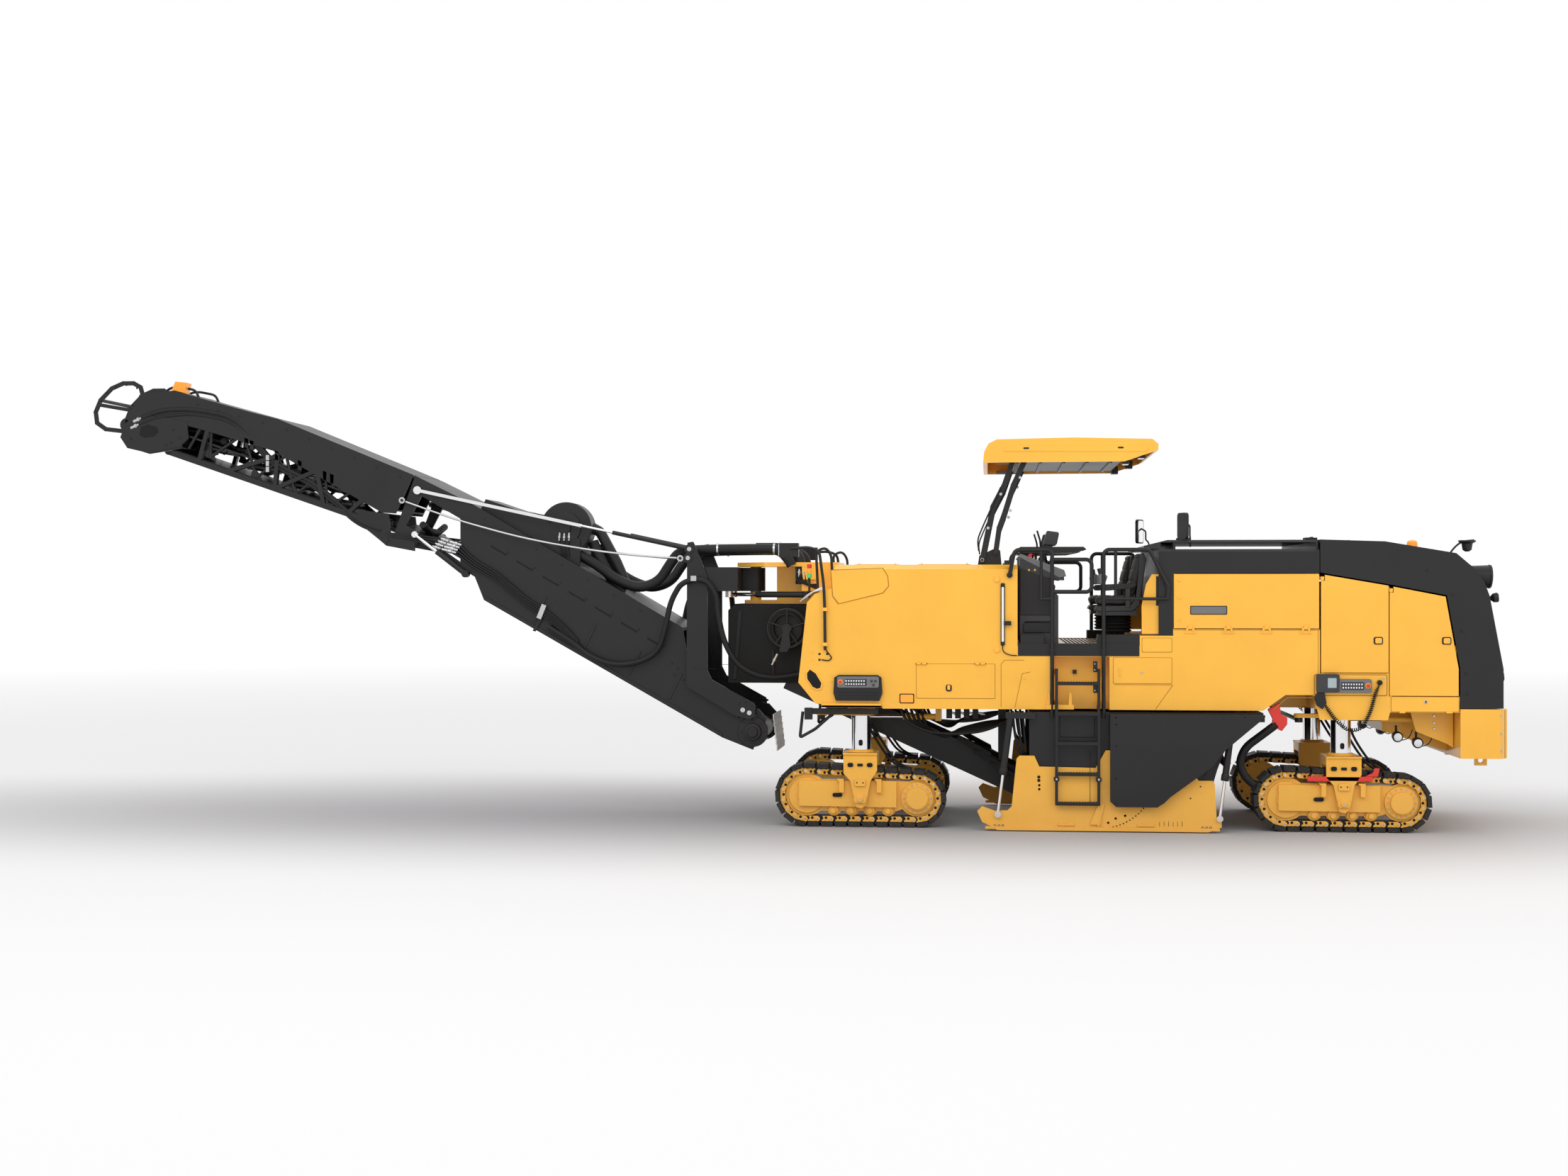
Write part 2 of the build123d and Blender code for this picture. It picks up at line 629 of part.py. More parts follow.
with BuildPart() as conveyor_lower:
    pair(LOWER_SIDE, BELT_HALF, CONVEYOR_HALF)
    pair(LOWER_WINDOW, BELT_HALF, CONVEYOR_HALF, Mode.SUBTRACT)
    # cover over the belt
    slab(ribbon(COVER_LINE, COVER_THICK), -CONVEYOR_HALF, CONVEYOR_HALF)
    # belt, its return run and the tail pulley
    slab(strip(BELT_START, BELT_END, -18, 0), -BELT_HALF, BELT_HALF)
    slab(strip(RETURN_START, RETURN_END, 0, 18), -BELT_HALF, BELT_HALF)
    rod((TAIL_X, -BELT_HALF, TAIL_Z), (TAIL_X, BELT_HALF, TAIL_Z), 118)
    for _, side in SIDES:
        rod(
            (TAIL_X, side * BELT_HALF, TAIL_Z),
            (TAIL_X, side * (CONVEYOR_HALF + 34), TAIL_Z),
            60,
        )
        # bosses for the lift pin
        rod(
            (SWING_X, side * (BELT_HALF - 14), LIFT_Z),
            (SWING_X, side * (SWING_INNER - FIT), LIFT_Z),
            60,
        )
        rod(
            (SWING_X, side * (BELT_HALF - 14), LIFT_Z),
            (SWING_X, side * SWING_INNER, LIFT_Z),
            LIFT_PIN_RADIUS + FIT,
            Mode.SUBTRACT,
        )
        # ear and pin of the fold hinge
        slab(
            [(-3860, 2880), (-3860, 3090), (FOLD_X + 20, FOLD_Z + 62),
             (FOLD_X - 60, FOLD_Z), (FOLD_X + 10, FOLD_Z - 62)],
            side * (CONVEYOR_HALF + FIT), side * (CONVEYOR_HALF + HINGE_EAR),
        )
        slab(
            [(-3860, 2900), (-3860, 3080), (-4000, 3080), (-4000, 2940)],
            side * (CONVEYOR_HALF - 5), side * (CONVEYOR_HALF + HINGE_EAR),
        )
        rod(
            (FOLD_X, side * (BELT_HALF - 2), FOLD_Z),
            (FOLD_X, side * (CONVEYOR_HALF + HINGE_EAR + 8), FOLD_Z),
            HINGE_PIN_RADIUS,
        )
        # seats of the lift straps, and the fold cylinder
        rod(
            (STRAP_EYE[0], side * (CONVEYOR_HALF - 5), STRAP_EYE[1]),
            (STRAP_EYE[0], side * (STRAP_Y - STRAP_THICK / 2 - FIT), STRAP_EYE[1]),
            36,
        )
        base = (FOLD_BASE[0], side * FOLD_CYL_Y, FOLD_BASE[1])
        eye = (FOLD_EYE[0], side * FOLD_CYL_Y, FOLD_EYE[1])
        rod(base, along(base, eye, FOLD_BARREL_LENGTH), 30)
        rod(
            along(base, eye, 40), along(base, eye, FOLD_BARREL_LENGTH),
            FOLD_ROD_RADIUS + FIT, Mode.SUBTRACT,
        )
        rod(
            (FOLD_BASE[0], side * (CONVEYOR_HALF - 5), FOLD_BASE[1]),
            (FOLD_BASE[0], side * (FOLD_CYL_Y + 30), FOLD_BASE[1]),
            38,
        )
save(conveyor_lower, "conveyor_lower")

# ---------------------------------------------------------- conveyor, upper
UPPER_TOP = [(-3880, 3708), (-5400, 4330), (-5700, 4405), (-6400, 4600)]
UPPER_BAND = [
    (-3888, 3690), (-4080, 3290), (-4230, 3300), (-5450, 3980), (-6500, 4290),
    (-6500, 4600), (-6400, 4600), (-5700, 4405), (-5400, 4330), (-3896, 3715),
]
CHORD_LOW = [(-4400, 3215), (-6600, 3965)]
TRUSS = (  # foot share along the lower chord, head share
    (0.10, 0.02), (0.22, 0.30), (0.47, 0.30), (0.47, 0.50), (0.72, 0.50), (0.86, 0.86),
)
HEAD_PLATE_SIDE = [
    (-6480, 4560), (-6480, 4010), (-6850, 3955), (-7075, 4025), (-7150, 4170),
    (-7120, 4330), (-6950, 4620), (-6560, 4650), (-6400, 4600),
]
HINGE_LUG = [
    (FOLD_X - 62, FOLD_Z - 10), (FOLD_X, FOLD_Z - 62), (FOLD_X + 55, FOLD_Z - 22),
    (FOLD_X + 50, FOLD_Z + 40), (-4160, 3290), (-4500, 3330), (-4480, 3180),
]
UPPER_BELT = [(-4060.0, 3330.0), (-6790.0, 4290.0)]
UPPER_RETURN = [(-4400.0, 3240.0), (-6760.0, 4045.0)]
TIP_X = -6850.0
TIP_Z = 4165.0
GUARD_Y = 420.0
GUARD_LOOP = [
    (-6960, 4560), (-7000, 4700), (-7080, 4745), (-7200, 4745), (-7330, 4690), (-7460, 4560),
    (-7515, 4430), (-7500, 4310), (-7400, 4240), (-7105, 4205),
]

UPPER_Y = CONVEYOR_HALF - 60.0      # inner face of the truss members

with BuildPart() as conveyor_upper:
    for _, side in SIDES:
        inner, outer = side * BELT_HALF, side * CONVEYOR_HALF
        slab(UPPER_BAND, inner, outer)
        slab(HEAD_PLATE_SIDE, inner, outer)
        # truss under the band
        bar(*CHORD_LOW, 62, side * UPPER_Y, outer)
        for foot, head in TRUSS:
            low = on_line(CHORD_LOW, foot)
            high = on_line(((-4300, 3520), (-6500, 4330)), head)
            span = (high[0] - low[0], high[1] - low[1])
            if abs(span[0]) < 30:
                block(
                    low[0] - 22, low[0] + 22, min(side * UPPER_Y, outer),
                    max(side * UPPER_Y, outer), low[1], high[1],
                )
            else:
                bar(low, high, 44, side * UPPER_Y, outer)
        slab(HINGE_LUG, inner, outer)
        rod(
            (FOLD_X, side * (BELT_HALF - 10), FOLD_Z),
            (FOLD_X, side * (CONVEYOR_HALF + 10), FOLD_Z),
            HINGE_PIN_RADIUS + FIT,
            Mode.SUBTRACT,
        )
        # side loop of the guard at the tip
        for start, end in zip(GUARD_LOOP, GUARD_LOOP[1:]):
            bar(start, end, 48, side * GUARD_Y, side * (GUARD_Y + 12))
            with BuildSketch(Plane.XZ.offset(-max(side * GUARD_Y, side * (GUARD_Y + 12)))):
                with Locations(end):
                    Circle(25)
            extrude(amount=12)
        bar((-7485, 4512), (-6960, 4420), 40, side * GUARD_Y, side * (GUARD_Y + 12))
    slab(ribbon(UPPER_TOP, COVER_THICK), -CONVEYOR_HALF, CONVEYOR_HALF)
    slab(
        [(-6400, 4600), (-6560, 4650), (-6950, 4620), (-6950, 4590), (-6560, 4620), (-6400, 4570)],
        -CONVEYOR_HALF, CONVEYOR_HALF,
    )
    slab(strip(*UPPER_BELT, -18, 0), -BELT_HALF, BELT_HALF)
    slab(strip(*UPPER_RETURN, 0, 18), -BELT_HALF, BELT_HALF)
    rod((TIP_X, -BELT_HALF, TIP_Z), (TIP_X, BELT_HALF, TIP_Z), 128)
    for x, z, half in ((-7460, 4560, GUARD_Y + 6), (-7105, 4205, BELT_HALF + 5)):
        rod((x, -half, z), (x, half, z), 20)
    block(-6980, -6900, -BELT_HALF - 5, BELT_HALF + 5, 4530, 4600)
save(conveyor_upper, "conveyor_upper")

# ----------------------------------------------- lift cylinders and fold rods
LIFT_BARREL_LENGTH = 860.0
LIFT_ROD_START = 405.0
LIFT_ROD_LENGTH = 1225.0
LIFT_BARREL_RADIUS = 22.0
LIFT_ROD_RADIUS = 13.0
CYLINDER_PIN_RADIUS = 24.0


def lift_point(side, reach):
    """Point on the line of a lift cylinder, from its base pin."""
    base = (CYLINDER_PIN_X, side * STRAP_Y, CYLINDER_PIN_Z)
    return along(base, (STRAP_EYE[0], side * STRAP_Y, STRAP_EYE[1]), reach)


with BuildPart() as lift_barrel:
    for _, side in SIDES:
        rod(lift_point(side, 0), lift_point(side, LIFT_BARREL_LENGTH), LIFT_BARREL_RADIUS)
        with Locations(Location(lift_point(side, 0), (90, 0, 0))):
            Cylinder(46, 2 * LIFT_BARREL_RADIUS)
        rod(
            lift_point(side, 60),
            lift_point(side, LIFT_BARREL_LENGTH),
            LIFT_ROD_RADIUS + FIT,
            Mode.SUBTRACT,
        )
        with Locations(Location(lift_point(side, 0), (90, 0, 0))):
            Cylinder(CYLINDER_PIN_RADIUS + FIT, 2 * LIFT_BARREL_RADIUS, mode=Mode.SUBTRACT)
save(lift_barrel, "lift_barrel")

LIFT_RUN = hypot(STRAP_EYE[0] - CYLINDER_PIN_X, STRAP_EYE[1] - CYLINDER_PIN_Z)
with BuildPart() as lift_rod:
    for _, side in SIDES:
        rod(
            lift_point(side, LIFT_ROD_START), lift_point(side, LIFT_ROD_LENGTH), LIFT_ROD_RADIUS
        )
        near = lift_point(side, LIFT_ROD_LENGTH - 20)
        far = lift_point(side, LIFT_RUN)
        bar(
            (near[0], near[2]), (far[0], far[2]), 34,
            side * STRAP_Y - STRAP_THICK / 2, side * STRAP_Y + STRAP_THICK / 2,
        )
        with Locations(Location(far, (90, 0, 0))):
            Cylinder(44, STRAP_THICK)
save(lift_rod, "lift_rod")

with BuildPart() as fold_rod:
    for _, side in SIDES:
        y = side * FOLD_CYL_Y
        eye = (FOLD_EYE[0], y, FOLD_EYE[1])
        rod(along(eye, (FOLD_BASE[0], y, FOLD_BASE[1]), FOLD_ROD_LENGTH), eye, FOLD_ROD_RADIUS)
        with Locations(Location(eye, (90, 0, 0))):
            Cylinder(34, 30)
save(fold_rod, "fold_rod")

# ------------------------------------------------- dust extraction on the boom
FAN_X = -2220.0
FAN_Z = 3130.0
FAN_RADIUS = 280.0
FAN_Y = (-440.0, -180.0)
DUCT_RADIUS = 58.0


def cover_z(x):
    """Height of the conveyor's cover at a place along the first flight."""
    (x_one, z_one), (x_two, z_two) = COVER_LINE[:2]
    return z_one + (x - x_one) * (z_two - z_one) / (x_two - x_one)


with BuildPart() as blower:
    rod((FAN_X, FAN_Y[0], FAN_Z), (FAN_X, FAN_Y[1], FAN_Z), FAN_RADIUS)
    slab(
        [
            (-3150, cover_z(-3150) + FIT), (-3100, 3445), (-2480, 3235), (-2300, 3130),
            (-2060, 3000), (-2060, cover_z(-2060) + FIT),
        ],
        -470, 150,
    )
    rod((FAN_X, FAN_Y[0] - 70, FAN_Z), (FAN_X, FAN_Y[0], FAN_Z), 60)
    tube_run(
        [(-2080, -250, 3200), (-1880, -250, 3090), (-1700, -250, 2760), (-1600, -250, 2530)],
        90, DUCT_RADIUS,
    )
save(blower, "blower")

# ------------------------------------------- transfer hopper, pick-up conveyor
HOPPER_HALF = 440.0
HOPPER_FRONT = -450.0
HOPPER_FOOT = 1462.0
HOPPER_WALL = 12.0
PICKUP_HALF = 400.0
PICKUP_FOOT = (2900.0, 390.0)
PICKUP_HEAD = (230.0, 1600.0)
PICKUP_DEPTH = 215.0

with BuildPart() as hopper:
    face_foot = (FRONT_OUTLINE[1][0] - FIT, FRONT_OUTLINE[1][1])
    slab(
        [(HOPPER_FRONT, HOPPER_FOOT), (HOPPER_FRONT, 2240), (HOPPER_FRONT + 70, 2310 - FIT),
         (466, 2310 - FIT),
         face_foot, (face_foot[0], HOPPER_FOOT)],
        -HOPPER_HALF, HOPPER_HALF,
    )
    slab(
        [(HOPPER_FRONT + HOPPER_WALL, HOPPER_FOOT - 10), (HOPPER_FRONT + HOPPER_WALL, 2230),
         (HOPPER_FRONT + 80, 2298 - FIT), (440, 2298 - FIT), (face_foot[0] - 20, HOPPER_FOOT + 90),
         (face_foot[0] - 20, HOPPER_FOOT - 10)],
        -HOPPER_HALF + HOPPER_WALL, HOPPER_HALF - HOPPER_WALL, Mode.SUBTRACT,
    )
    block(300, 460, -PICKUP_HALF - 20, PICKUP_HALF + 20, HOPPER_FOOT - 20, 1780, Mode.SUBTRACT)
save(hopper, "hopper")

with BuildPart() as pickup_conveyor:
    for _, side in SIDES:
        slab(
            strip(PICKUP_FOOT, PICKUP_HEAD, -PICKUP_DEPTH, 60),
            side * (PICKUP_HALF - 20), side * PICKUP_HALF,
        )
    slab(strip(PICKUP_FOOT, PICKUP_HEAD, -20, 0), -PICKUP_HALF + 10, PICKUP_HALF - 10)
    slab(
        strip(PICKUP_FOOT, PICKUP_HEAD, -PICKUP_DEPTH, -PICKUP_DEPTH + 20),
        -PICKUP_HALF + 10, PICKUP_HALF - 10,
    )
    for end in (0.02, 0.98):
        x, z = on_line((PICKUP_FOOT, PICKUP_HEAD), end)
        rod((x, -PICKUP_HALF + 10, z - 118), (x, PICKUP_HALF - 10, z - 118), 86)
    # hangers up to the beams
    for x in (800, 2480):
        for _, side in SIDES:
            y_low, y_high = sorted((side * (PICKUP_HALF - 10), side * (BEAM_INNER - FIT)))
            z = on_line((PICKUP_FOOT, PICKUP_HEAD), (PICKUP_FOOT[0] - x) / (
                PICKUP_FOOT[0] - PICKUP_HEAD[0]))[1]
            block(x - 40, x + 40, y_low, y_high, z - 60, max(z, 1300 - FIT))
save(pickup_conveyor, "pickup_conveyor")

# --------------------------------------------------------------- drum housing
WALL_OUTER = 1255.0
WALL_INNER = 1215.0
SKIRT_INNER = 1265.0
SKIRT_OUTER = 1300.0
SKIRT_CYL_Y = 1318.0
COVER_INNER = 1360.0
COVER_OUTER = 1395.0
SKIRT_ROD_RADIUS = 16.0
SKIRT_BARREL_RADIUS = 34.0
SKIRT_EYES = ((2430, 170, 1000, 600), (4660, 150, 800, 420))  # x, z, run to base, barrel
SKIRT_LEAN = 0.126            # run in x for each unit of height
MOLDBOARD_X = 4080.0
STUB_RADIUS = 80.0

WALL_OUTLINE = [
    (2750, HOUSING_ROOF), (2750, 330), (2900, 200), (4250, 200), (4600, 500), (4700, 840),
    (5100, 1180), (5100, HOUSING_ROOF),
]
SIDE_COVER = [
    (3560, 1200), (3560, 320), (3620, 265), (4030, 265), (4100, 310), (4160, 370),
    (4580, 680), (4700, 840), (5100, 1180), (5100, 1200),
]

with BuildPart() as drum_housing:
    pair(WALL_OUTLINE, WALL_INNER, WALL_OUTER)
    block(2750, 5100, -WALL_OUTER, WALL_OUTER, HOUSING_ROOF - 40, HOUSING_ROOF)
    block(2860, 2900, -WALL_INNER, WALL_INNER, 300, HOUSING_ROOF)
    block(2840, 2920, -PICKUP_HALF - 25, PICKUP_HALF + 25, 290, 880, Mode.SUBTRACT)
    block(5060, 5100, -WALL_INNER, WALL_INNER, 1150, HOUSING_ROOF)
    # hangers to the frame beams
    twin_block(3000, 4900, BEAM_INNER, BEAM_OUTER, HOUSING_ROOF - 20, BEAM_LOW - FIT)
    pair(SIDE_COVER, COVER_INNER, COVER_OUTER)
    twin_block(3560, 5100, WALL_OUTER - 5, COVER_INNER + 5, 1130, 1200)
    for _, side in SIDES:
        # drum bearings
        rod(
            (DRUM_X, side * WALL_INNER, DRUM_Z),
            (DRUM_X, side * (DRUM_HALF + CLEAR), DRUM_Z), 250,
        )
        rod(
            (DRUM_X, side * WALL_INNER, DRUM_Z),
            (DRUM_X, side * (DRUM_HALF - 90), DRUM_Z), STUB_RADIUS,
        )
        # rails behind the moldboard
        block(
            MOLDBOARD_X + 40 + FIT, MOLDBOARD_X + 90,
            min(side * 1150, side * WALL_INNER), max(side * 1150, side * WALL_INNER),
            230, HOUSING_ROOF - 20,
        )
        # cylinders of the side plates, with the brackets at their tops
        for x, z, run, length in SKIRT_EYES:
            top = (x + SKIRT_LEAN * run, side * SKIRT_CYL_Y, z + run)
            eye = (x, side * SKIRT_CYL_Y, z)
            block(
                top[0] - 45, top[0] + (250 if x < DRUM_X else 45),
                min(side * (WALL_INNER + 5), side * (SKIRT_CYL_Y + 34)),
                max(side * (WALL_INNER + 5), side * (SKIRT_CYL_Y + 34)),
                top[2] - 20, top[2] + 40,
            )
            rod(top, along(top, eye, length), SKIRT_BARREL_RADIUS)
            rod(
                along(top, eye, 30), along(top, eye, length),
                SKIRT_ROD_RADIUS + FIT, Mode.SUBTRACT,
            )
save(drum_housing, "drum_housing")

with BuildPart() as moldboard:
    block(MOLDBOARD_X, MOLDBOARD_X + 40, -WALL_INNER + 10, WALL_INNER - 10, 30, 700)
    for z in (180, 420, 640):
        block(MOLDBOARD_X - 30, MOLDBOARD_X + 5, -WALL_INNER + 60, WALL_INNER - 60, z, z + 40)
save(moldboard, "moldboard")

# ------------------------------------------------------------------ side plates
SKIRT_OUTLINE = [
    (2220, 200), (2270, 90), (2420, SKIRT_FOOT), (4550, SKIRT_FOOT), (4680, 60), (4680, 130),
    (4630, 140), (4610, 500), (4590, 530), (4450, 530), (4250, 830), (3520, 830),
    (3420, 650), (2850, 660), (2800, 770), (2650, 770), (2620, 740), (2570, 250),
    (2530, 212), (2400, 205), (2270, 250),
]
SKIRT_HOLES = ((2850, 430), (2850, 470), (3490, 40), (3545, 95), (3620, 140), (3715, 168))

for side_name, side in SIDES:
    with BuildPart() as side_plate:
        slab(SKIRT_OUTLINE, side * SKIRT_INNER, side * SKIRT_OUTER)
        slab(
            [(2300, 84), (2425, SKIRT_FOOT), (4545, SKIRT_FOOT), (4640, 48), (4640, 62),
             (4540, 34), (2430, 34), (2310, 100)],
            side * (SKIRT_OUTER - 5), side * (SKIRT_OUTER + 22),
        )
        for x, z in SKIRT_HOLES:
            rod((x, side * SKIRT_INNER, z), (x, side * SKIRT_OUTER, z), 13, Mode.SUBTRACT)
        bar((3440, 60), (3500, 300), 16, side * (SKIRT_OUTER - 4), side * (SKIRT_OUTER + 24))
    save(side_plate, f"side_plate_{side_name}")

    with BuildPart() as side_rods:
        for x, z, run, length in SKIRT_EYES:
            eye = (x, side * SKIRT_CYL_Y, z)
            top = (x + SKIRT_LEAN * run, side * SKIRT_CYL_Y, z + run)
            rod(eye, along(eye, top, run - length + 70), SKIRT_ROD_RADIUS)
            with Locations(Location(eye, (90, 0, 0))):
                Cylinder(32, 2 * (SKIRT_CYL_Y - SKIRT_OUTER - FIT))
    save(side_rods, f"side_rods_{side_name}")

# ------------------------------------------------------------------------ drum
# one holder with its round cutting tool, which leans the way the drum turns
with BuildPart() as tool:
    Box(HOLDER_WIDE, HOLDER_LONG, HOLDER_DEEP)
    with Locations(Location((0, -HOLDER_LONG / 7, HOLDER_DEEP / 2), (TOOL_ANGLE, 0, 0))):
        Cone(TOOL_COLLAR, TOOL_TIP, 2 * TOOL_PROUD)

with BuildPart() as drum:
    rod((DRUM_X, -DRUM_HALF, DRUM_Z), (DRUM_X, DRUM_HALF, DRUM_Z), DRUM_SHELL)
    for _, side in SIDES:
        rod(
            (DRUM_X, side * (DRUM_HALF + 1), DRUM_Z),
            (DRUM_X, side * (DRUM_HALF - 110), DRUM_Z),
            STUB_RADIUS + FIT, Mode.SUBTRACT,
        )
    holders = []
    for half in (-1, 1):
        for row in range(PICK_ROWS):
            for index in range(PICKS_PER_ROW):
                share = (index + 0.5) / PICKS_PER_ROW
                turn = 360 * row / PICK_ROWS + half * 150 * share
                y = half * (DRUM_HALF - 30) * (1 - share)
                place = Plane(
                    origin=(
                        DRUM_X + DRUM_SHELL * cos(radians(turn)),
                        y,
                        DRUM_Z + DRUM_SHELL * sin(radians(turn)),
                    ),
                    x_dir=(0, 1, 0),
                    z_dir=(cos(radians(turn)), 0, sin(radians(turn))),
                )
                holders.append(place.location)
    with Locations(holders):
        add(tool.part)
save(drum, "drum")

# ------------------------------------------------------------------- platform
DECK_FRONT = BODY_REAR + FIT
DECK_REAR = 3870.0
DECK_HALF = 1200.0
SIDE_BOX_INNER = 1050.0
RAIL_INNER = 1330.0
RAIL_OUTER = 1370.0
RUNG_HEIGHTS = (290.0, 590.0, 900.0, 1200.0, 1510.0)
LADDER_RAILS = ((3010.0, 3035.0), (3435.0, 3460.0))
BOX_TOP = 1995.0
COWL_BACK = REAR_FRONT - FIT

with BuildPart() as platform:
    block(DECK_FRONT, DECK_REAR, -DECK_HALF, DECK_HALF, BEAM_TOP + FIT, DECK_TOP)
    twin_block(DECK_FRONT, DECK_REAR, DECK_HALF, BODY_HALF, BEAM_TOP + FIT, DECK_TOP - 20)
    block(DECK_REAR - 5, COWL_BACK, -BODY_HALF, BODY_HALF, BEAM_TOP + FIT, BOX_TOP)
    for x_low, x_high in ((DECK_FRONT, 2990), (3560, COWL_BACK)):
        twin_block(x_low, x_high, SIDE_BOX_INNER, BODY_HALF, BODY_FLOOR, BEAM_TOP + 20)
    twin_block(2980, 3570, SIDE_BOX_INNER, SIDE_BOX_INNER + 25, BODY_FLOOR, BEAM_TOP + 20)
    # ladder with its two brackets on each side
    for x_low, x_high in LADDER_RAILS:
        twin_block(x_low, x_high, RAIL_INNER, RAIL_OUTER, RUNG_HEIGHTS[0] - 15, 1660)
        for z in (1280, 1600):
            twin_block(x_low, x_high, SIDE_BOX_INNER + 20, RAIL_INNER + 5, z, z + 50)
    for z in RUNG_HEIGHTS:
        twin_block(
            LADDER_RAILS[0][0] + 5, LADDER_RAILS[1][1] - 5, RAIL_INNER + 4, RAIL_OUTER - 4,
            z - 14, z + 14,
        )
save(platform, "platform")

CONSOLE_INNER = 350.0
CONSOLE_OUTER = 1080.0
CONSOLE = [
    (2655, DECK_TOP + FIT), (3050, DECK_TOP + FIT), (3050, 2400), (2860, 2600),
    (3110, 2560), (3105, 2640), (2670, 2815), (2655, 2800),
]
with BuildPart() as console:
    pair(CONSOLE, CONSOLE_INNER, CONSOLE_OUTER)
save(console, "console")

# ---------------------------------------------------------------------- seats
SEAT_X = 3690.0
SEAT_Y = 750.0
SEAT_HALF = 220.0
SEAT_SIDE = [
    (3450, 2290), (3880, 2290), (3960, 2600), (3955, 2860), (3860, 2860), (3820, 2560),
    (3770, 2430), (3450, 2420),
]

for side_name, side in SIDES:
    with BuildPart() as seat:
        with Locations((SEAT_X, side * SEAT_Y, DECK_TOP + FIT)):
            Cylinder(70, 150, align=(Align.CENTER, Align.CENTER, Align.MIN))
        y_low, y_high = side * SEAT_Y - SEAT_HALF, side * SEAT_Y + SEAT_HALF
        block(3400, 3890, y_low, y_high, 2055, 2150)
        block(3500, 3870, y_low + 40, y_high - 40, 2145, 2300)
        slab(SEAT_SIDE, y_low, y_high)
        for y in (y_low, y_high - 60):
            block(3520, 3840, y, y + 60, 2540, 2590)
            block(3780, 3900, y, y + 60, 2440, 2590)
    save(seat, f"seat_{side_name}")

# ------------------------------------------------------------------ handrails
RAIL_Y = BODY_HALF + 28.0
RAIL_RADIUS = 20.0
RAIL_TOP = 2870.0
FRONT_RAIL = [(2550, 2610), (2600, RAIL_TOP), (2980, RAIL_TOP), (2980, 1160)]
REAR_RAIL = [(4150, 2500), (3960, RAIL_TOP), (3500, RAIL_TOP), (3500, 1160)]
GATE_RAIL = [(2980, 2770), (3380, 2770), (3380, 2440), (2980, 2440)]
RAIL_PADS = ((2550, 2612), (2980, 1840), (3500, 1840), (4150, 2502))
RAIL_BARS = (
    ((2870, RAIL_TOP), (2870, 2360)), ((2870, 2370), (2980, 2370)),
    ((3620, RAIL_TOP), (3620, 2360)), ((3500, 2370), (4140, 2370)),
    ((4140, 2370), (4150, 2500)),
)

with BuildPart() as handrails:
    for _, side in SIDES:
        y = side * RAIL_Y
        for route in (FRONT_RAIL, REAR_RAIL, GATE_RAIL):
            tube_run([(x, y, z) for x, z in route], 60, RAIL_RADIUS)
        for start, end in RAIL_BARS:
            rod((start[0], y, start[1]), (end[0], y, end[1]), RAIL_RADIUS - 4)
        for x, z in RAIL_PADS:
            rod((x, side * (BODY_HALF + FIT), z), (x, side * (RAIL_Y + 6), z), 30)
save(handrails, "handrails")

# --------------------------------------------------------------------- canopy
ARM_INNER = 1003.0
ARM_OUTER = 1030.0
ARM_WIDTH = 54.0
ARM_PIN_RADIUS = 15.0
FRONT_ARM = [(2270, 2770), (2380, 3320), (2500, 3550), (2600, 3840)]
REAR_ARM = [(2410, 2850), (2445, 3100), (2500, 3250), (2590, 3540), (2720, 3820), (2740, 3920)]
ROOF_PROFILE = [
    (2280, 3770), (2290, 3880), (2335, 3965), (2420, 4008), (3200, 4022), (4000, 4003),
    (4062, 3950), (4060, 3890), (3720, 3775),
]
ROOF_HOLLOW = [
    (2320, 3700), (2330, 3875), (2365, 3935), (2430, 3972), (3200, 3986), (3990, 3967),
    (4020, 3930), (4020, 3700),
]
ROOF_HALF = 1150.0


def make_arms(route, cross_tube):
    """A bent link on each side and the tube that joins them."""
    with BuildPart() as arms:
        for _, side in SIDES:
            inner, outer = side * ARM_INNER, side * ARM_OUTER
            for start, end in zip(route, route[1:]):
                bar(start, end, ARM_WIDTH, inner, outer)
            for x, z in route:
                rod((x, inner, z), (x, outer, z), ARM_WIDTH / 2 + 1)
            for x, z in (route[0], route[-1]):
                rod((x, inner, z), (x, outer, z), ARM_PIN_RADIUS + FIT, Mode.SUBTRACT)
        x, z = cross_tube
        rod((x, -ARM_INNER - 5, z), (x, ARM_INNER + 5, z), 18)
    return arms


with BuildPart() as canopy_base:
    for _, side in SIDES:
        slab(
            [(2225, BODY_ROOF + FIT), (2470, BODY_ROOF + FIT), (2455, 2870), (2400, 2890),
             (2240, 2815)],
            side * (ARM_INNER - CLEAR - 25), side * (ARM_INNER - CLEAR),
        )
        for x, z in (FRONT_ARM[0], REAR_ARM[0]):
            rod(
                (x, side * (ARM_INNER - CLEAR - 5), z), (x, side * (ARM_OUTER + 10), z),
                ARM_PIN_RADIUS,
            )
save(canopy_base, "canopy_base")

save(make_arms(FRONT_ARM, (2380, 3320)), "canopy_front_arms")
save(make_arms(REAR_ARM, (2500, 3250)), "canopy_rear_arms")

with BuildPart() as canopy_roof:
    slab(ROOF_PROFILE, -ROOF_HALF, ROOF_HALF)
    slab(ROOF_HOLLOW, -ROOF_HALF + 45, ROOF_HALF - 45, Mode.SUBTRACT)
    for _, side in SIDES:
        slab(
            [(2560, 3990), (2560, 3800), (2640, 3800), (2780, 3880), (2780, 3990)],
            side * (ARM_INNER - CLEAR - 25), side * (ARM_INNER - CLEAR),
        )
        for x, z in (FRONT_ARM[-1], REAR_ARM[-1]):
            rod(
                (x, side * (ARM_INNER - CLEAR - 5), z), (x, side * (ARM_OUTER + 10), z),
                ARM_PIN_RADIUS,
            )
save(canopy_roof, "canopy_roof")

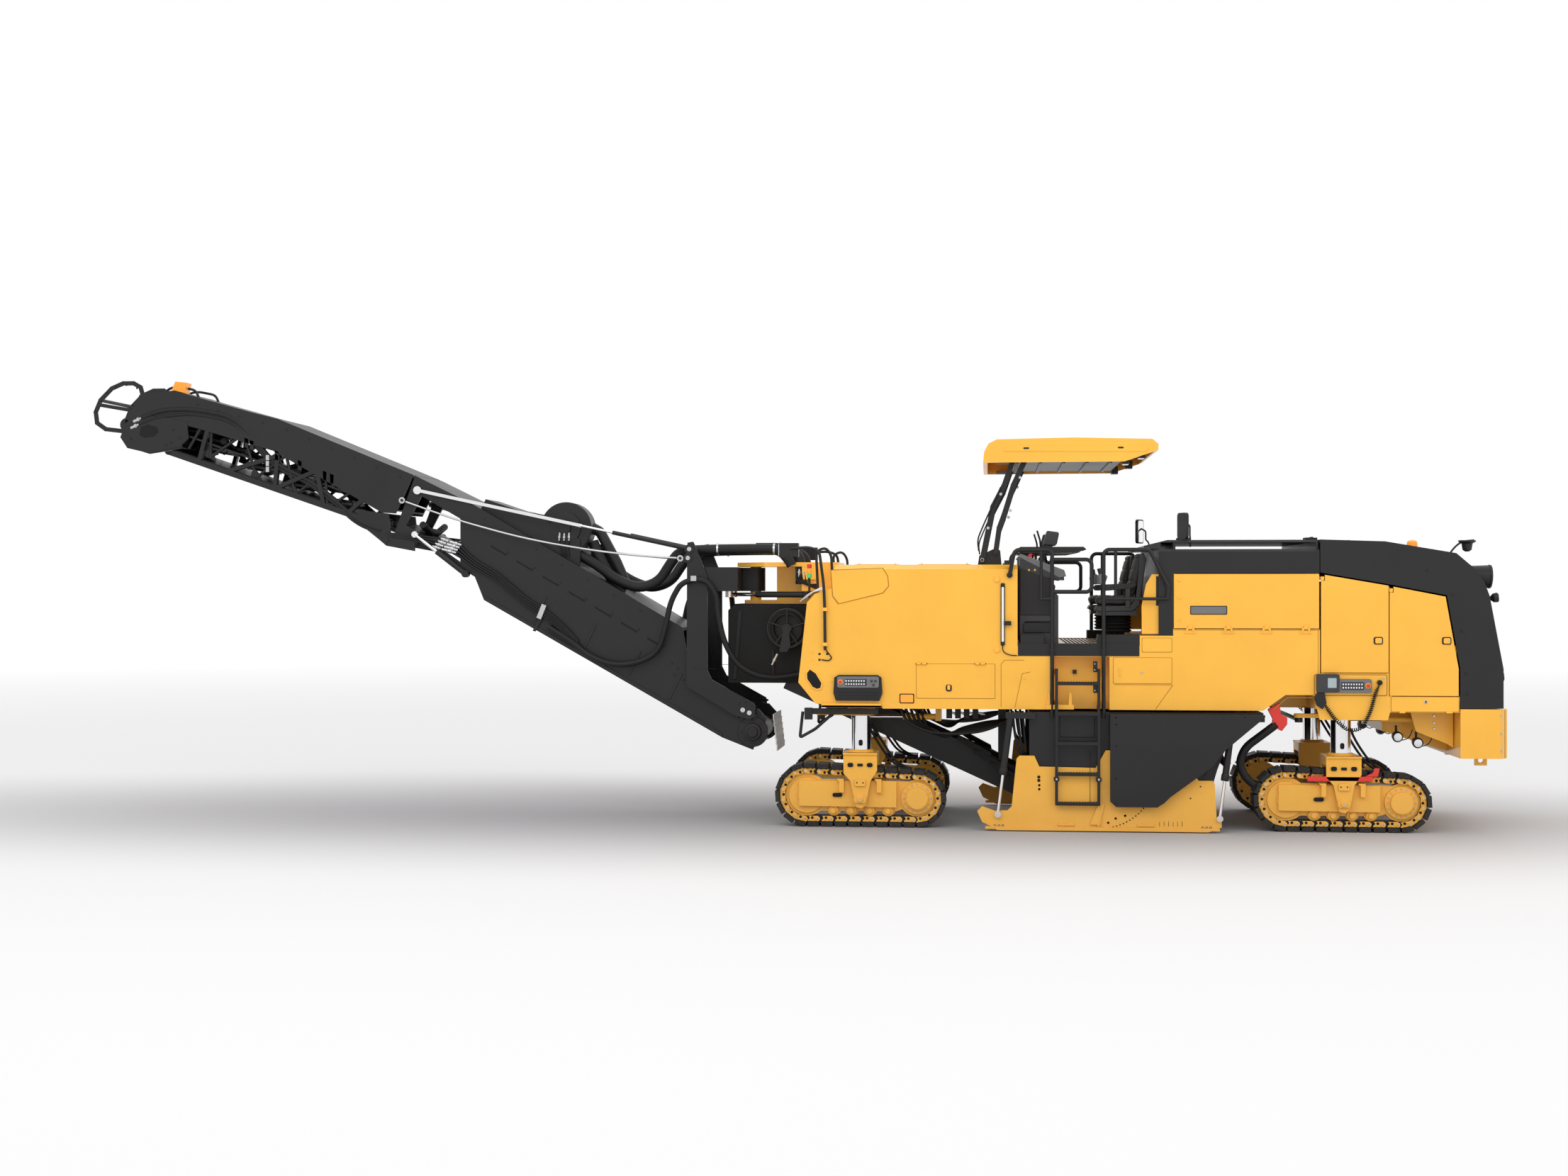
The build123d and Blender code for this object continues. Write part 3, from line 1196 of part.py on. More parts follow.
# --------------------------------------------------------------- engine house
HOOD_FRONT = 5660.0
HOOD_WALL = 25.0
HOOD_HINGE_Y = 650.0
HOOD_HINGE_Z = HOOD_TOP + 22.0
HOOD_PIN_RADIUS = 10.0
WALL_IN = BODY_HALF - PANEL
RIB_HALF = BODY_HALF - 43.0
BODY_LINE = [(7030, 1670), (6900, 2400), (6340, 2510), (5650, 2630)]
SIDE_OUTLINE = [
    (REAR_FRONT, BODY_FLOOR), (5100, BODY_FLOOR), (5320, 1400), (5600, 1400), (5660, 1150),
    (6330, 1150), (6350, 1230), (7030, 1230), *BODY_LINE, (REAR_FRONT, 2630),
]
LID_LOW = 2064.0
LID_HINGES = (4370.0, 4750.0, 5130.0, 5520.0)
LID_PIN_Y = BODY_HALF + 10.0
LID_PIN_Z = LID_LOW + 4.0
LID_PIN_RADIUS = 5.0
DOORS = (  # name, pivot x, foot z, top lug z, outline
    ("front", 5687.0, 1628.0, 2560.0, [
        (5672, 1628), (6336, 1628), (6336, 2503), (5710, 2612), (5710, 2554), (5672, 2554),
    ]),
    ("rear", 6363.0, 1398.0, 2440.0, [
        (6348, 1398), (7022, 1398), (7022, 1670), (6894, 2393), (6386, 2493), (6386, 2434),
        (6348, 2434),
    ]),
)
DOOR_THICK = 30.0
PIVOT_Y = BODY_HALF - DOOR_THICK / 2
PIVOT_RADIUS = 9.0
RIB_PLACES = ((REAR_FRONT, 2630), (5620, 2630), (6330, 2490), (6985, 1900))
ENGINE_FRONT = 4600.0
ENGINE_BACK = 6850.0

with BuildPart() as rear_body:
    pair(SIDE_OUTLINE, WALL_IN, BODY_HALF)
    twin_block(REAR_FRONT - 1, HOOD_FRONT, WALL_IN - 1, BODY_HALF + 1, LID_LOW, 2700,
               Mode.SUBTRACT)
    twin_block(HOOD_FRONT, 6340, WALL_IN - 1, BODY_HALF + 1, 1620, 2700, Mode.SUBTRACT)
    twin_block(6339, REAR_BACK, WALL_IN - 1, BODY_HALF + 1, 1390, 2700, Mode.SUBTRACT)
    # ribs that carry the sides on the frame's beams
    for x, z_top in RIB_PLACES:
        twin_block(x, x + PANEL, BEAM_OUTER + FIT, RIB_HALF, BODY_FLOOR + 20, z_top)
        twin_block(x, x + PANEL, RIB_HALF - 1, WALL_IN + 1, BODY_FLOOR + 20, 1380)
    # end walls
    block(REAR_FRONT, REAR_FRONT + PANEL, -RIB_HALF, RIB_HALF, BEAM_TOP + FIT, 2630)
    block(6985, 6985 + PANEL, -RIB_HALF, RIB_HALF, BEAM_TOP + FIT, 1900)
    for _, side in SIDES:
        # pivots of the doors: a pin in the sill and one in a lug over the door
        for _, x, z_foot, z_lug, _ in DOORS:
            y = side * PIVOT_Y
            rod((x, y, z_foot - 20), (x, y, z_foot + 40), PIVOT_RADIUS)
            rod((x, y, z_lug - 40), (x, y, z_lug + 10), PIVOT_RADIUS)
            y_low, y_high = sorted((side * (RIB_HALF - 20), side * (BODY_HALF - 2)))
            block(x - 18, x + 15, y_low, y_high, z_lug, z_lug + 36)
            y_low, y_high = sorted((side * (RIB_HALF - 20), side * RIB_HALF))
            block(x - 60, x + 15, y_low, y_high, z_lug, z_lug + 36)
        # hinges of the side lid
        for x in LID_HINGES:
            rod(
                (x - 40, side * LID_PIN_Y, LID_PIN_Z), (x + 40, side * LID_PIN_Y, LID_PIN_Z),
                LID_PIN_RADIUS,
            )
            for x_low in (x - 40, x + 20):
                y_low, y_high = sorted((side * (BODY_HALF - 2), side * (LID_PIN_Y + 8)))
                block(x_low, x_low + 20, y_low, y_high, LID_PIN_Z - 28, LID_PIN_Z)
                rod(
                    (x_low, side * LID_PIN_Y, LID_PIN_Z),
                    (x_low + 20, side * LID_PIN_Y, LID_PIN_Z), 8,
                )
save(rear_body, "rear_body")

with BuildPart() as engine_block:
    block(ENGINE_FRONT, ENGINE_BACK, -560, 560, BEAM_TOP + FIT, 2380)
save(engine_block, "engine_block")

TOP_OUTER = [
    (3910, 2880), (3910, 2910), (4150, HOOD_TOP), (HOOD_FRONT - 4, HOOD_TOP),
    (HOOD_FRONT - 4, 2630 + FIT), (COWL_BACK, 2630 + FIT), (COWL_BACK, BOX_TOP + FIT),
    (4055, BOX_TOP + FIT), (4055, 2880),
]
HOOD_OUTER = [
    (HOOD_FRONT + 4, 2637), (6342, 2518), (6908, 2408), (7038, 1672), (7038, 1274),
    (7460, 1274), (7460, 1670), (7325, 2400), (7270, 2550), (7150, 2700), (7000, 2830),
    (6300, 2950), (HOOD_FRONT + 4, HOOD_TOP),
]
HOOD_INNER = [
    (HOOD_FRONT + 4 + HOOD_WALL, 1100), (7435, 1100), (7435, 1668), (7301, 2394),
    (7248, 2536), (7132, 2682), (6990, 2806), (6296, 2925),
    (HOOD_FRONT + 4 + HOOD_WALL, HOOD_TOP - HOOD_WALL),
]

with BuildPart() as top_cover:
    slab(TOP_OUTER, -BODY_HALF, BODY_HALF)
    top_edges = top_cover.edges().filter_by(Axis.X).filter_by(
        lambda edge: abs(edge.center().Z - HOOD_TOP) < 1
    )
    chamfer(top_edges, length=120)
    block(4080, HOOD_FRONT, -WALL_IN, WALL_IN, 2600, HOOD_TOP - HOOD_WALL, Mode.SUBTRACT)
    block(4080, REAR_FRONT, -WALL_IN, WALL_IN, BOX_TOP, 2640, Mode.SUBTRACT)
    for x in (REAR_FRONT, 5620):
        block(x, x + PANEL, -WALL_IN - 1, WALL_IN + 1, 2630 + FIT, HOOD_TOP - 20)
    for _, side in SIDES:
        for y in (HOOD_HINGE_Y - 60, HOOD_HINGE_Y + 60):
            rod(
                (HOOD_FRONT, side * (y - 18), HOOD_HINGE_Z),
                (HOOD_FRONT, side * (y + 18), HOOD_HINGE_Z), 18,
            )
            block(
                HOOD_FRONT - 70, HOOD_FRONT, side * y - 18, side * y + 18,
                HOOD_TOP - 10, HOOD_HINGE_Z + 10,
            )
        rod(
            (HOOD_FRONT, side * (HOOD_HINGE_Y - 60), HOOD_HINGE_Z),
            (HOOD_FRONT, side * (HOOD_HINGE_Y + 60), HOOD_HINGE_Z), HOOD_PIN_RADIUS,
        )
        block(
            HOOD_FRONT - 3, HOOD_FRONT + 20, side * HOOD_HINGE_Y - 80,
            side * HOOD_HINGE_Y + 80, HOOD_TOP - 30, HOOD_TOP + 1, Mode.SUBTRACT,
        )
save(top_cover, "top_cover")

with BuildPart() as hood:
    slab(HOOD_OUTER, -BODY_HALF, BODY_HALF)
    slab(HOOD_INNER, -WALL_IN, WALL_IN, Mode.SUBTRACT)
    for _, side in SIDES:
        y_low, y_high = side * HOOD_HINGE_Y - 41, side * HOOD_HINGE_Y + 41
        block(HOOD_FRONT, HOOD_FRONT + 60, y_low, y_high, HOOD_TOP - 10, HOOD_HINGE_Z + 10)
        for radius, mode in ((18, Mode.ADD), (HOOD_PIN_RADIUS + FIT, Mode.SUBTRACT)):
            rod(
                (HOOD_FRONT, y_low, HOOD_HINGE_Z), (HOOD_FRONT, y_high, HOOD_HINGE_Z),
                radius, mode,
            )
save(hood, "hood")

for side_name, side in SIDES:
    for door_name, x, z_foot, z_lug, outline in DOORS:
        y = side * PIVOT_Y
        with BuildPart() as door:
            slab(outline, side * (BODY_HALF - DOOR_THICK), side * BODY_HALF)
            for z in (z_foot, z_lug - 6):
                rod((x, y, z - 45), (x, y, z + 45), PIVOT_RADIUS + FIT, Mode.SUBTRACT)
        save(door, f"door_{door_name}_{side_name}")
    with BuildPart() as side_lid:
        y_low, y_high = sorted((side * WALL_IN, side * BODY_HALF))
        block(REAR_FRONT + 8, HOOD_FRONT - 8, y_low, y_high, LID_LOW + 8, 2622)
        for x in LID_HINGES:
            y_low, y_high = sorted((side * (BODY_HALF - 2), side * (LID_PIN_Y + 8)))
            block(x - 19, x + 19, y_low, y_high, LID_PIN_Z, LID_PIN_Z + 34)
            for radius, mode in ((8, Mode.ADD), (LID_PIN_RADIUS + FIT, Mode.SUBTRACT)):
                rod(
                    (x - 19, side * LID_PIN_Y, LID_PIN_Z),
                    (x + 19, side * LID_PIN_Y, LID_PIN_Z), radius, mode,
                )
    save(side_lid, f"side_lid_{side_name}")
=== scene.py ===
"""Looks of the cold planer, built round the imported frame."""
from math import atan2, cos, pi, radians, sin

import bmesh
import bpy
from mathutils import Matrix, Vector


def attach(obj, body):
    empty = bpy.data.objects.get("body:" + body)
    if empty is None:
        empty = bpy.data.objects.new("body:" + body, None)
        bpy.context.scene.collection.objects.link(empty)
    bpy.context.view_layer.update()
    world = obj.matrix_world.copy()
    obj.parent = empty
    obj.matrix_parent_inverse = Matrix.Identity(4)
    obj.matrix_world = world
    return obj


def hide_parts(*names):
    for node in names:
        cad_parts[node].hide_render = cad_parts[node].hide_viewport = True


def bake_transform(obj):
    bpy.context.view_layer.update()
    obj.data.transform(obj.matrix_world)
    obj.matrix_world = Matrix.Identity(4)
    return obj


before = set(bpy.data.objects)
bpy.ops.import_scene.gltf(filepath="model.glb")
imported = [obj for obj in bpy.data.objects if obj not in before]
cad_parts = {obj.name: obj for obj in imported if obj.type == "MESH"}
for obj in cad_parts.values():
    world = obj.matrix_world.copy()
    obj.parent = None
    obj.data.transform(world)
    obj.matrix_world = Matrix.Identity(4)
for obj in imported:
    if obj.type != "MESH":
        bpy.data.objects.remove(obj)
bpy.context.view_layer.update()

SIDES = ((-1, "left"), (1, "right"))


# ------------------------------------------------------------------ materials
def node(tree, kind, **inputs):
    made = tree.nodes.new(kind)
    for key, value in inputs.items():
        made.inputs[key.replace("_", " ")].default_value = value
    return made


def shade(name, colour, rough=0.45, metal=0.0, coat=0.0, vary=0.08, grain=900.0, bump=0.02,
          grime=0.0, wear=0.0, streak=False, gleam=0.3):
    """A painted, moulded or cast surface: colour drift, grime, fine bump, uneven gloss."""
    material = bpy.data.materials.new(name)
    material.use_nodes = True
    tree = material.node_tree
    link = tree.links.new
    shader = tree.nodes["Principled BSDF"]
    shader.inputs["Metallic"].default_value = metal
    shader.inputs["Coat Weight"].default_value = coat
    shader.inputs["Coat Roughness"].default_value = 0.12
    shader.inputs["Specular IOR Level"].default_value = gleam
    where = tree.nodes.new("ShaderNodeTexCoord")
    broad = node(tree, "ShaderNodeTexNoise", Scale=1.7, Detail=6.0, Roughness=0.62)
    link(where.outputs["Object"], broad.inputs["Vector"])
    fine = node(tree, "ShaderNodeTexNoise", Scale=grain, Detail=2.0, Roughness=0.5)
    if streak:
        squash = node(tree, "ShaderNodeMapping")
        squash.inputs["Scale"].default_value = (1.0, 1.0, 0.06)
        link(where.outputs["Object"], squash.inputs["Vector"])
        link(squash.outputs["Vector"], fine.inputs["Vector"])
    else:
        link(where.outputs["Object"], fine.inputs["Vector"])
    dark = tuple(c * (1 - vary) for c in colour)
    light = tuple(min(1.0, c * (1 + vary)) for c in colour)
    drift = tree.nodes.new("ShaderNodeValToRGB")
    drift.color_ramp.elements[0].position = 0.3
    drift.color_ramp.elements[0].color = (*dark, 1)
    drift.color_ramp.elements[1].position = 0.7
    drift.color_ramp.elements[1].color = (*light, 1)
    link(broad.outputs["Fac"], drift.inputs["Fac"])
    colour_out = drift.outputs["Color"]
    if wear:
        chips = node(tree, "ShaderNodeTexNoise", Scale=38.0, Detail=8.0, Roughness=0.7)
        link(where.outputs["Object"], chips.inputs["Vector"])
        gate = tree.nodes.new("ShaderNodeValToRGB")
        gate.color_ramp.elements[0].position = 0.60
        gate.color_ramp.elements[0].color = (0, 0, 0, 1)
        gate.color_ramp.elements[1].position = 0.66
        gate.color_ramp.elements[1].color = (wear, wear, wear, 1)
        link(chips.outputs["Fac"], gate.inputs["Fac"])
        rub = tree.nodes.new("ShaderNodeMix")
        rub.data_type = "RGBA"
        rub.inputs[7].default_value = (0.26, 0.25, 0.24, 1)
        link(gate.outputs["Color"], rub.inputs[0])
        link(colour_out, rub.inputs[6])
        colour_out = rub.outputs[2]
    if grime:
        low = tree.nodes.new("ShaderNodeSeparateXYZ")
        link(where.outputs["Object"], low.inputs[0])
        fall = node(tree, "ShaderNodeMapRange")
        fall.inputs["From Min"].default_value = 0.9
        fall.inputs["From Max"].default_value = 0.0
        fall.inputs["To Max"].default_value = grime
        link(low.outputs["Z"], fall.inputs["Value"])
        patchy = tree.nodes.new("ShaderNodeMath")
        patchy.operation = "MULTIPLY"
        link(fall.outputs["Result"], patchy.inputs[0])
        link(broad.outputs["Fac"], patchy.inputs[1])
        dust = tree.nodes.new("ShaderNodeMix")
        dust.data_type = "RGBA"
        dust.inputs[7].default_value = (0.34, 0.30, 0.25, 1)
        link(patchy.outputs[0], dust.inputs[0])
        link(colour_out, dust.inputs[6])
        colour_out = dust.outputs[2]
    link(colour_out, shader.inputs["Base Color"])
    gloss = node(tree, "ShaderNodeMapRange")
    gloss.inputs["To Min"].default_value = max(0.03, rough - 0.09)
    gloss.inputs["To Max"].default_value = min(1.0, rough + 0.09)
    link(broad.outputs["Fac"], gloss.inputs["Value"])
    link(gloss.outputs["Result"], shader.inputs["Roughness"])
    relief = node(tree, "ShaderNodeBump", Strength=0.5, Distance=bump / 40)
    link(fine.outputs["Fac"], relief.inputs["Height"])
    link(relief.outputs["Normal"], shader.inputs["Normal"])
    return material


def glow(name, colour, strength, rough=0.2):
    material = shade(name, colour, rough=rough, vary=0.02, coat=0.6)
    shader = material.node_tree.nodes["Principled BSDF"]
    shader.inputs["Emission Color"].default_value = (*colour, 1)
    shader.inputs["Emission Strength"].default_value = strength
    return material


M = {
    "yellow": shade("m_yellow", (0.93, 0.475, 0.048), rough=0.36, coat=0.35, vary=0.045,
                    grain=700, bump=0.012),
    "yellow_low": shade("m_yellow_low", (0.90, 0.455, 0.05), rough=0.44, coat=0.15, vary=0.06,
                        grain=500, bump=0.03, grime=0.25, wear=0.15),
    "black": shade("m_black", (0.0135, 0.0125, 0.013), rough=0.45, vary=0.14, grain=800,
                   bump=0.03, coat=0.1),
    "black_rough": shade("m_black_rough", (0.012, 0.0115, 0.0115), rough=0.6, vary=0.2,
                         grain=420, bump=0.09),
    "rubber": shade("m_rubber", (0.008, 0.0078, 0.008), rough=0.72, vary=0.2, grain=300,
                    bump=0.12),
    "hose": shade("m_hose", (0.009, 0.009, 0.0095), rough=0.5, vary=0.2, grain=600, bump=0.06),
    "shoe": shade("m_shoe", (0.016, 0.015, 0.014), rough=0.6, vary=0.3, grain=240, bump=0.12,
                  grime=0.06, wear=0.25),
    "steel": shade("m_steel", (0.55, 0.55, 0.56), rough=0.24, metal=1.0, vary=0.06, grain=900,
                   bump=0.01, streak=True),
    "chrome": shade("m_chrome", (0.80, 0.80, 0.81), rough=0.10, metal=1.0, vary=0.02,
                    grain=1200, bump=0.003),
    "drum": shade("m_drum", (0.21, 0.19, 0.17), rough=0.55, metal=0.7, vary=0.3, grain=200,
                  bump=0.14, wear=0.5),
    "cast": shade("m_cast", (0.28, 0.29, 0.30), rough=0.6, metal=0.4, vary=0.2, grain=220,
                  bump=0.12),
    "plastic": shade("m_plastic", (0.045, 0.045, 0.048), rough=0.5, vary=0.1, grain=1400,
                     bump=0.06),
    "grey": shade("m_grey", (0.17, 0.17, 0.175), rough=0.5, vary=0.08, grain=1200, bump=0.05),
    "vinyl": shade("m_vinyl", (0.030, 0.029, 0.029), rough=0.52, vary=0.16, grain=520,
                   bump=0.16),
    "line": shade("m_line", (0.42, 0.20, 0.025), rough=0.6, vary=0.1),
    "seam": shade("m_seam", (0.012, 0.012, 0.012), rough=0.9, vary=0.2),
    "red": shade("m_red", (0.70, 0.030, 0.020), rough=0.35, coat=0.4, vary=0.06),
    "orange": glow("m_orange", (0.95, 0.33, 0.02), 0.25),
    "green": glow("m_green", (0.05, 0.55, 0.12), 0.15),
    "lens": shade("m_lens", (0.80, 0.82, 0.84), rough=0.08, coat=1.0, vary=0.03),
    "white": shade("m_white", (0.78, 0.78, 0.77), rough=0.5, vary=0.04),
    "mirror": shade("m_mirror", (0.9, 0.9, 0.9), rough=0.02, metal=1.0, vary=0.01, bump=0.0),
    "screen": shade("m_screen", (0.35, 0.42, 0.44), rough=0.12, coat=1.0, vary=0.1),
}


# -------------------------------------------------------------------- meshes
SMOOTH_ANGLE, BEVEL_ANGLE, BEVEL_STEPS = 32, 40, 2


def across_faces(count):
    """The faces of a form between two rings of count points."""
    return [tuple(range(count)), tuple(range(2 * count - 1, count - 1, -1))] + [
        (i, i + count, (i + 1) % count + count, (i + 1) % count) for i in range(count)]


def circle(centre, across, other, radius, sides):
    turns = [2 * pi * i / sides for i in range(sides)]
    return [centre + (across * cos(turn) + other * sin(turn)) * radius for turn in turns]


class Kit:
    """Collects many small forms into one mesh that rides on one body.

    Each y that a form is given is multiplied by out, which is -1 on the left side."""

    out = 1

    def __init__(self, name, body, slot, material, bevel=0.0):
        self.name, self.body, self.slot = name, body, slot
        self.material, self.bevel = material, bevel
        self.verts, self.faces = [], []

    def add(self, verts, faces):
        first = len(self.verts)
        self.verts += [tuple(v) for v in verts]
        self.faces += [tuple(first + i for i in face) for face in faces]

    def skin(self, rings, closed):
        """Faces over rings of points; closed joins the last ring to the first."""
        count, sides, faces = len(rings), len(rings[0]), []
        for ring in range(count if closed else count - 1):
            here, after = ring * sides, (ring + 1) % count * sides
            for i in range(sides):
                j = (i + 1) % sides
                faces.append((here + i, here + j, after + j, after + i))
        if not closed:
            faces.append(tuple(range(sides - 1, -1, -1)))
            faces.append(tuple((count - 1) * sides + i for i in range(sides)))
        self.add([point for ring in rings for point in ring], faces)

    def box(self, low, high):
        (x, y, z), (X, Y, Z) = low, high
        y, Y = sorted((y * Kit.out, Y * Kit.out))
        self.add(
            [(x, y, z), (X, y, z), (X, Y, z), (x, Y, z), (x, y, Z), (X, y, Z), (X, Y, Z),
             (x, Y, Z)],
            [(0, 3, 2, 1), (4, 5, 6, 7), (0, 1, 5, 4), (1, 2, 6, 5), (2, 3, 7, 6), (3, 0, 4, 7)])

    def prism(self, outline, y_one, y_two):
        """An (x, z) outline between two cross positions."""
        area = sum(x * Z - X * z for (x, z), (X, Z) in zip(outline, outline[1:] + outline[:1]))
        line = outline if area > 0 else outline[::-1]
        ends = sorted((y_one * Kit.out, y_two * Kit.out))
        self.add([(x, y, z) for y in ends for x, z in line], across_faces(len(line)))

    def lathe(self, start, end, profile, sides=24, hollow=False):
        """A turned form: (share along the line, radius) rings from start to end.

        A hollow one joins its last ring to its first instead of being capped."""
        start, end = outward(start), outward(end)
        axis = (end - start).normalized()
        across = axis.orthogonal().normalized()
        other = axis.cross(across)
        self.skin([circle(start.lerp(end, share), across, other, radius, sides)
                   for share, radius in profile], hollow)

    def rod(self, start, end, radius, sides=20, far=None):
        self.lathe(start, end, [(0, radius), (1, radius if far is None else far)], sides)

    def disc(self, x, y, z, radius, depth, sides=24):
        """A short round form whose axis lies along Y; depth may be negative."""
        self.rod((x, y, z), (x, y + depth, z), radius, sides)

    def bolt(self, x, y, z, radius=0.011, depth=0.009):
        """A hexagon head on a face that looks away from the middle."""
        way = 1 if y > 0 else -1
        self.lathe((x, y - 0.001 * way, z), (x, y + depth * way, z),
                   [(0, radius), (0.8, radius), (1, radius * 0.8)], 6)

    def tube(self, points, radius, sides=12, bend=0.0, closed=False):
        """A round bar along points, with its corners rounded."""
        line = [outward(point) for point in points]
        line = smooth_line(line, bend) if bend else line
        rings, normal, last = [], None, len(line) - 1
        for i, point in enumerate(line):
            before, after = line[max(i - 1, 0)], line[min(i + 1, last)]
            if closed:
                before, after = line[i - 1], line[(i + 1) % len(line)]
            axis = (after - before).normalized()
            if normal is None:
                normal = axis.orthogonal().normalized()
            normal = (normal - axis * normal.dot(axis)).normalized()
            rings.append(circle(point, normal, axis.cross(normal), radius, sides))
        self.skin(rings, closed)

    def done(self, ride=True):
        mesh = bpy.data.meshes.new(self.name)
        mesh.from_pydata(self.verts, [], self.faces)
        mesh.validate()
        mesh.update()
        mesh.polygons.foreach_set("use_smooth", [True] * len(mesh.polygons))
        mesh.set_sharp_from_angle(angle=radians(SMOOTH_ANGLE))
        thing = bpy.data.objects.new(self.name, mesh)
        bpy.context.scene.collection.objects.link(thing)
        mesh.materials.append(M[self.material])
        if self.bevel:
            edge = thing.modifiers.new("edge", "BEVEL")
            edge.width, edge.segments = self.bevel, BEVEL_STEPS
            edge.limit_method, edge.angle_limit = "ANGLE", radians(BEVEL_ANGLE)
            edge.harden_normals = True
        if ride:
            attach(thing, self.body)
        return thing


def outward(point):
    """A point as it lies on the side that is being built."""
    x, y, z = point
    return Vector((x, y * Kit.out, z))


def both_sides():
    """Each side's out and name, for forms that are written once for both."""
    for Kit.out, hand in SIDES:
        yield Kit.out, hand
    Kit.out = 1


def smooth_line(points, bend, steps=6):
    """Points along straight runs with round corners."""
    points = [Vector(p) for p in points]
    line = [points[0]]
    for before, here, after in zip(points, points[1:], points[2:]):
        into, away = (before - here), (after - here)
        reach = min(bend, into.length * 0.48, away.length * 0.48)
        one, two = here + into.normalized() * reach, here + away.normalized() * reach
        for i in range(steps + 1):
            t = i / steps
            line.append(one.lerp(here, t).lerp(here.lerp(two, t), t))
    return line + [points[-1]]


# ------------------------------------------------- camera, light and backdrop
view = bpy.data.cameras.new("view")
view.lens, view.sensor_width = 48.0, 36.0
view.clip_start, view.clip_end = 0.5, 400
camera = bpy.data.objects.new("view", view)
camera.location = (2.34, -22.75, 2.48)
camera.rotation_euler = (radians(90), 0, radians(5.6))
bpy.context.scene.collection.objects.link(camera)
bpy.context.scene.camera = camera

floor_mesh = bpy.data.meshes.new("floor")
floor_mesh.from_pydata(
    [(-150, -120, 0), (150, -120, 0), (150, 180, 0), (-150, 180, 0)], [], [(0, 1, 2, 3)]
)
floor = bpy.data.objects.new("floor", floor_mesh)
bpy.context.scene.collection.objects.link(floor)
floor_paint = shade("m_floor", (0.72, 0.715, 0.725), rough=0.95, vary=0.01, grain=60, bump=0.0)
floor_mesh.materials.append(floor_paint)
# painted shadow: the floor is darker round the machine's feet
tree = floor_paint.node_tree
place = tree.nodes.new("ShaderNodeTexCoord")
near = node(tree, "ShaderNodeVectorMath")
near.operation = "MULTIPLY"
near.inputs[1].default_value = (0.085, 0.26, 0)
tree.links.new(place.outputs["Object"], near.inputs[0])
reach = tree.nodes.new("ShaderNodeVectorMath")
reach.operation = "LENGTH"
tree.links.new(near.outputs[0], reach.inputs[0])
painted_shadow_ramp = node(tree, "ShaderNodeMapRange")
painted_shadow_ramp.interpolation_type = "SMOOTHSTEP"
painted_shadow_ramp.inputs["From Min"].default_value = 0.15
painted_shadow_ramp.inputs["From Max"].default_value = 1.5
painted_shadow_ramp.inputs["To Min"].default_value = 0.0
tree.links.new(reach.outputs["Value"], painted_shadow_ramp.inputs["Value"])
tone = tree.nodes.new("ShaderNodeMix")
tone.data_type = "RGBA"
# dark tone of the painted shadow by the machine, then the floor's own pale tone
tone.inputs[6].default_value = (0.40, 0.39, 0.40, 1)
tone.inputs[7].default_value = (0.76, 0.755, 0.76, 1)
tree.links.new(painted_shadow_ramp.outputs["Result"], tone.inputs[0])
tree.links.new(tone.outputs[2], tree.nodes["Principled BSDF"].inputs["Base Color"])
# and pales into the backdrop with the distance from it
ring = tree.nodes.new("ShaderNodeVectorMath")
ring.operation = "LENGTH"
tree.links.new(place.outputs["Object"], ring.inputs[0])
fade = node(tree, "ShaderNodeMapRange")
fade.inputs["From Min"].default_value = 7.0
fade.inputs["From Max"].default_value = 46.0
tree.links.new(ring.outputs["Value"], fade.inputs["Value"])
pale = node(tree, "ShaderNodeEmission", Color=(1, 1, 1, 1), Strength=1.0)
blend = tree.nodes.new("ShaderNodeMixShader")
tree.links.new(fade.outputs["Result"], blend.inputs[0])
tree.links.new(tree.nodes["Principled BSDF"].outputs[0], blend.inputs[1])
tree.links.new(pale.outputs[0], blend.inputs[2])
tree.links.new(blend.outputs[0], tree.nodes["Material Output"].inputs["Surface"])

world = bpy.data.worlds.new("studio")
world.use_nodes = True
world.node_tree.nodes["Background"].inputs["Color"].default_value = (1, 1, 1, 1)
world.node_tree.nodes["Background"].inputs["Strength"].default_value = 1.0
bpy.context.scene.world = world
bpy.context.scene.view_settings.view_transform = "Standard"


def lamp(name, place, target, size, power):
    light = bpy.data.lights.new(name, "AREA")
    light.shape, light.size, light.size_y, light.energy = "RECTANGLE", size[0], size[1], power
    thing = bpy.data.objects.new(name, light)
    thing.location = place
    thing.rotation_euler = (Vector(target) - Vector(place)).to_track_quat("-Z", "Y").to_euler()
    bpy.context.scene.collection.objects.link(thing)


lamp("key", (-4, -16, 15), (1, 0, 1), (18, 8), 900)
lamp("fill", (14, -14, 9), (3, 0, 1), (10, 8), 260)
lamp("top", (1, 3, 16), (1, 0, 1), (20, 10), 300)

# ------------------------------------------------------ materials on the frame
FINISH = {
    "black": (
        "conveyor_lower conveyor_upper swing_frame blower lift_barrel swing_barrel_left "
        "swing_barrel_right handrails canopy_base canopy_front_arms canopy_rear_arms "
        "top_cover hood tie_rod_front tie_rod_rear drum_housing pickup_conveyor"
    ),
    "yellow": (
        "main_frame front_body conveyor_head platform rear_body canopy_roof "
        "door_front_left door_front_right door_rear_left door_rear_right side_lid_left "
        "side_lid_right"
    ),
    "yellow_low": (
        "side_plate_left side_plate_right leg_front_left leg_front_right leg_rear_left "
        "leg_rear_right"
    ),
    "shoe": "track_front_left track_front_right track_rear_left track_rear_right",
    "chrome": (
        "lift_rod fold_rod side_rods_left side_rods_right steer_rod_front steer_rod_rear "
        "swing_rod_left swing_rod_right"
    ),
    "rubber": "hopper",
    "drum": "drum moldboard",
    "cast": "engine_block",
    "plastic": "console",
    "vinyl": "seat_left seat_right",
}
for finish, names in FINISH.items():
    for name in names.split():
        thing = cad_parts[name]
        thing.data.materials.clear()
        thing.data.materials.append(M[finish])

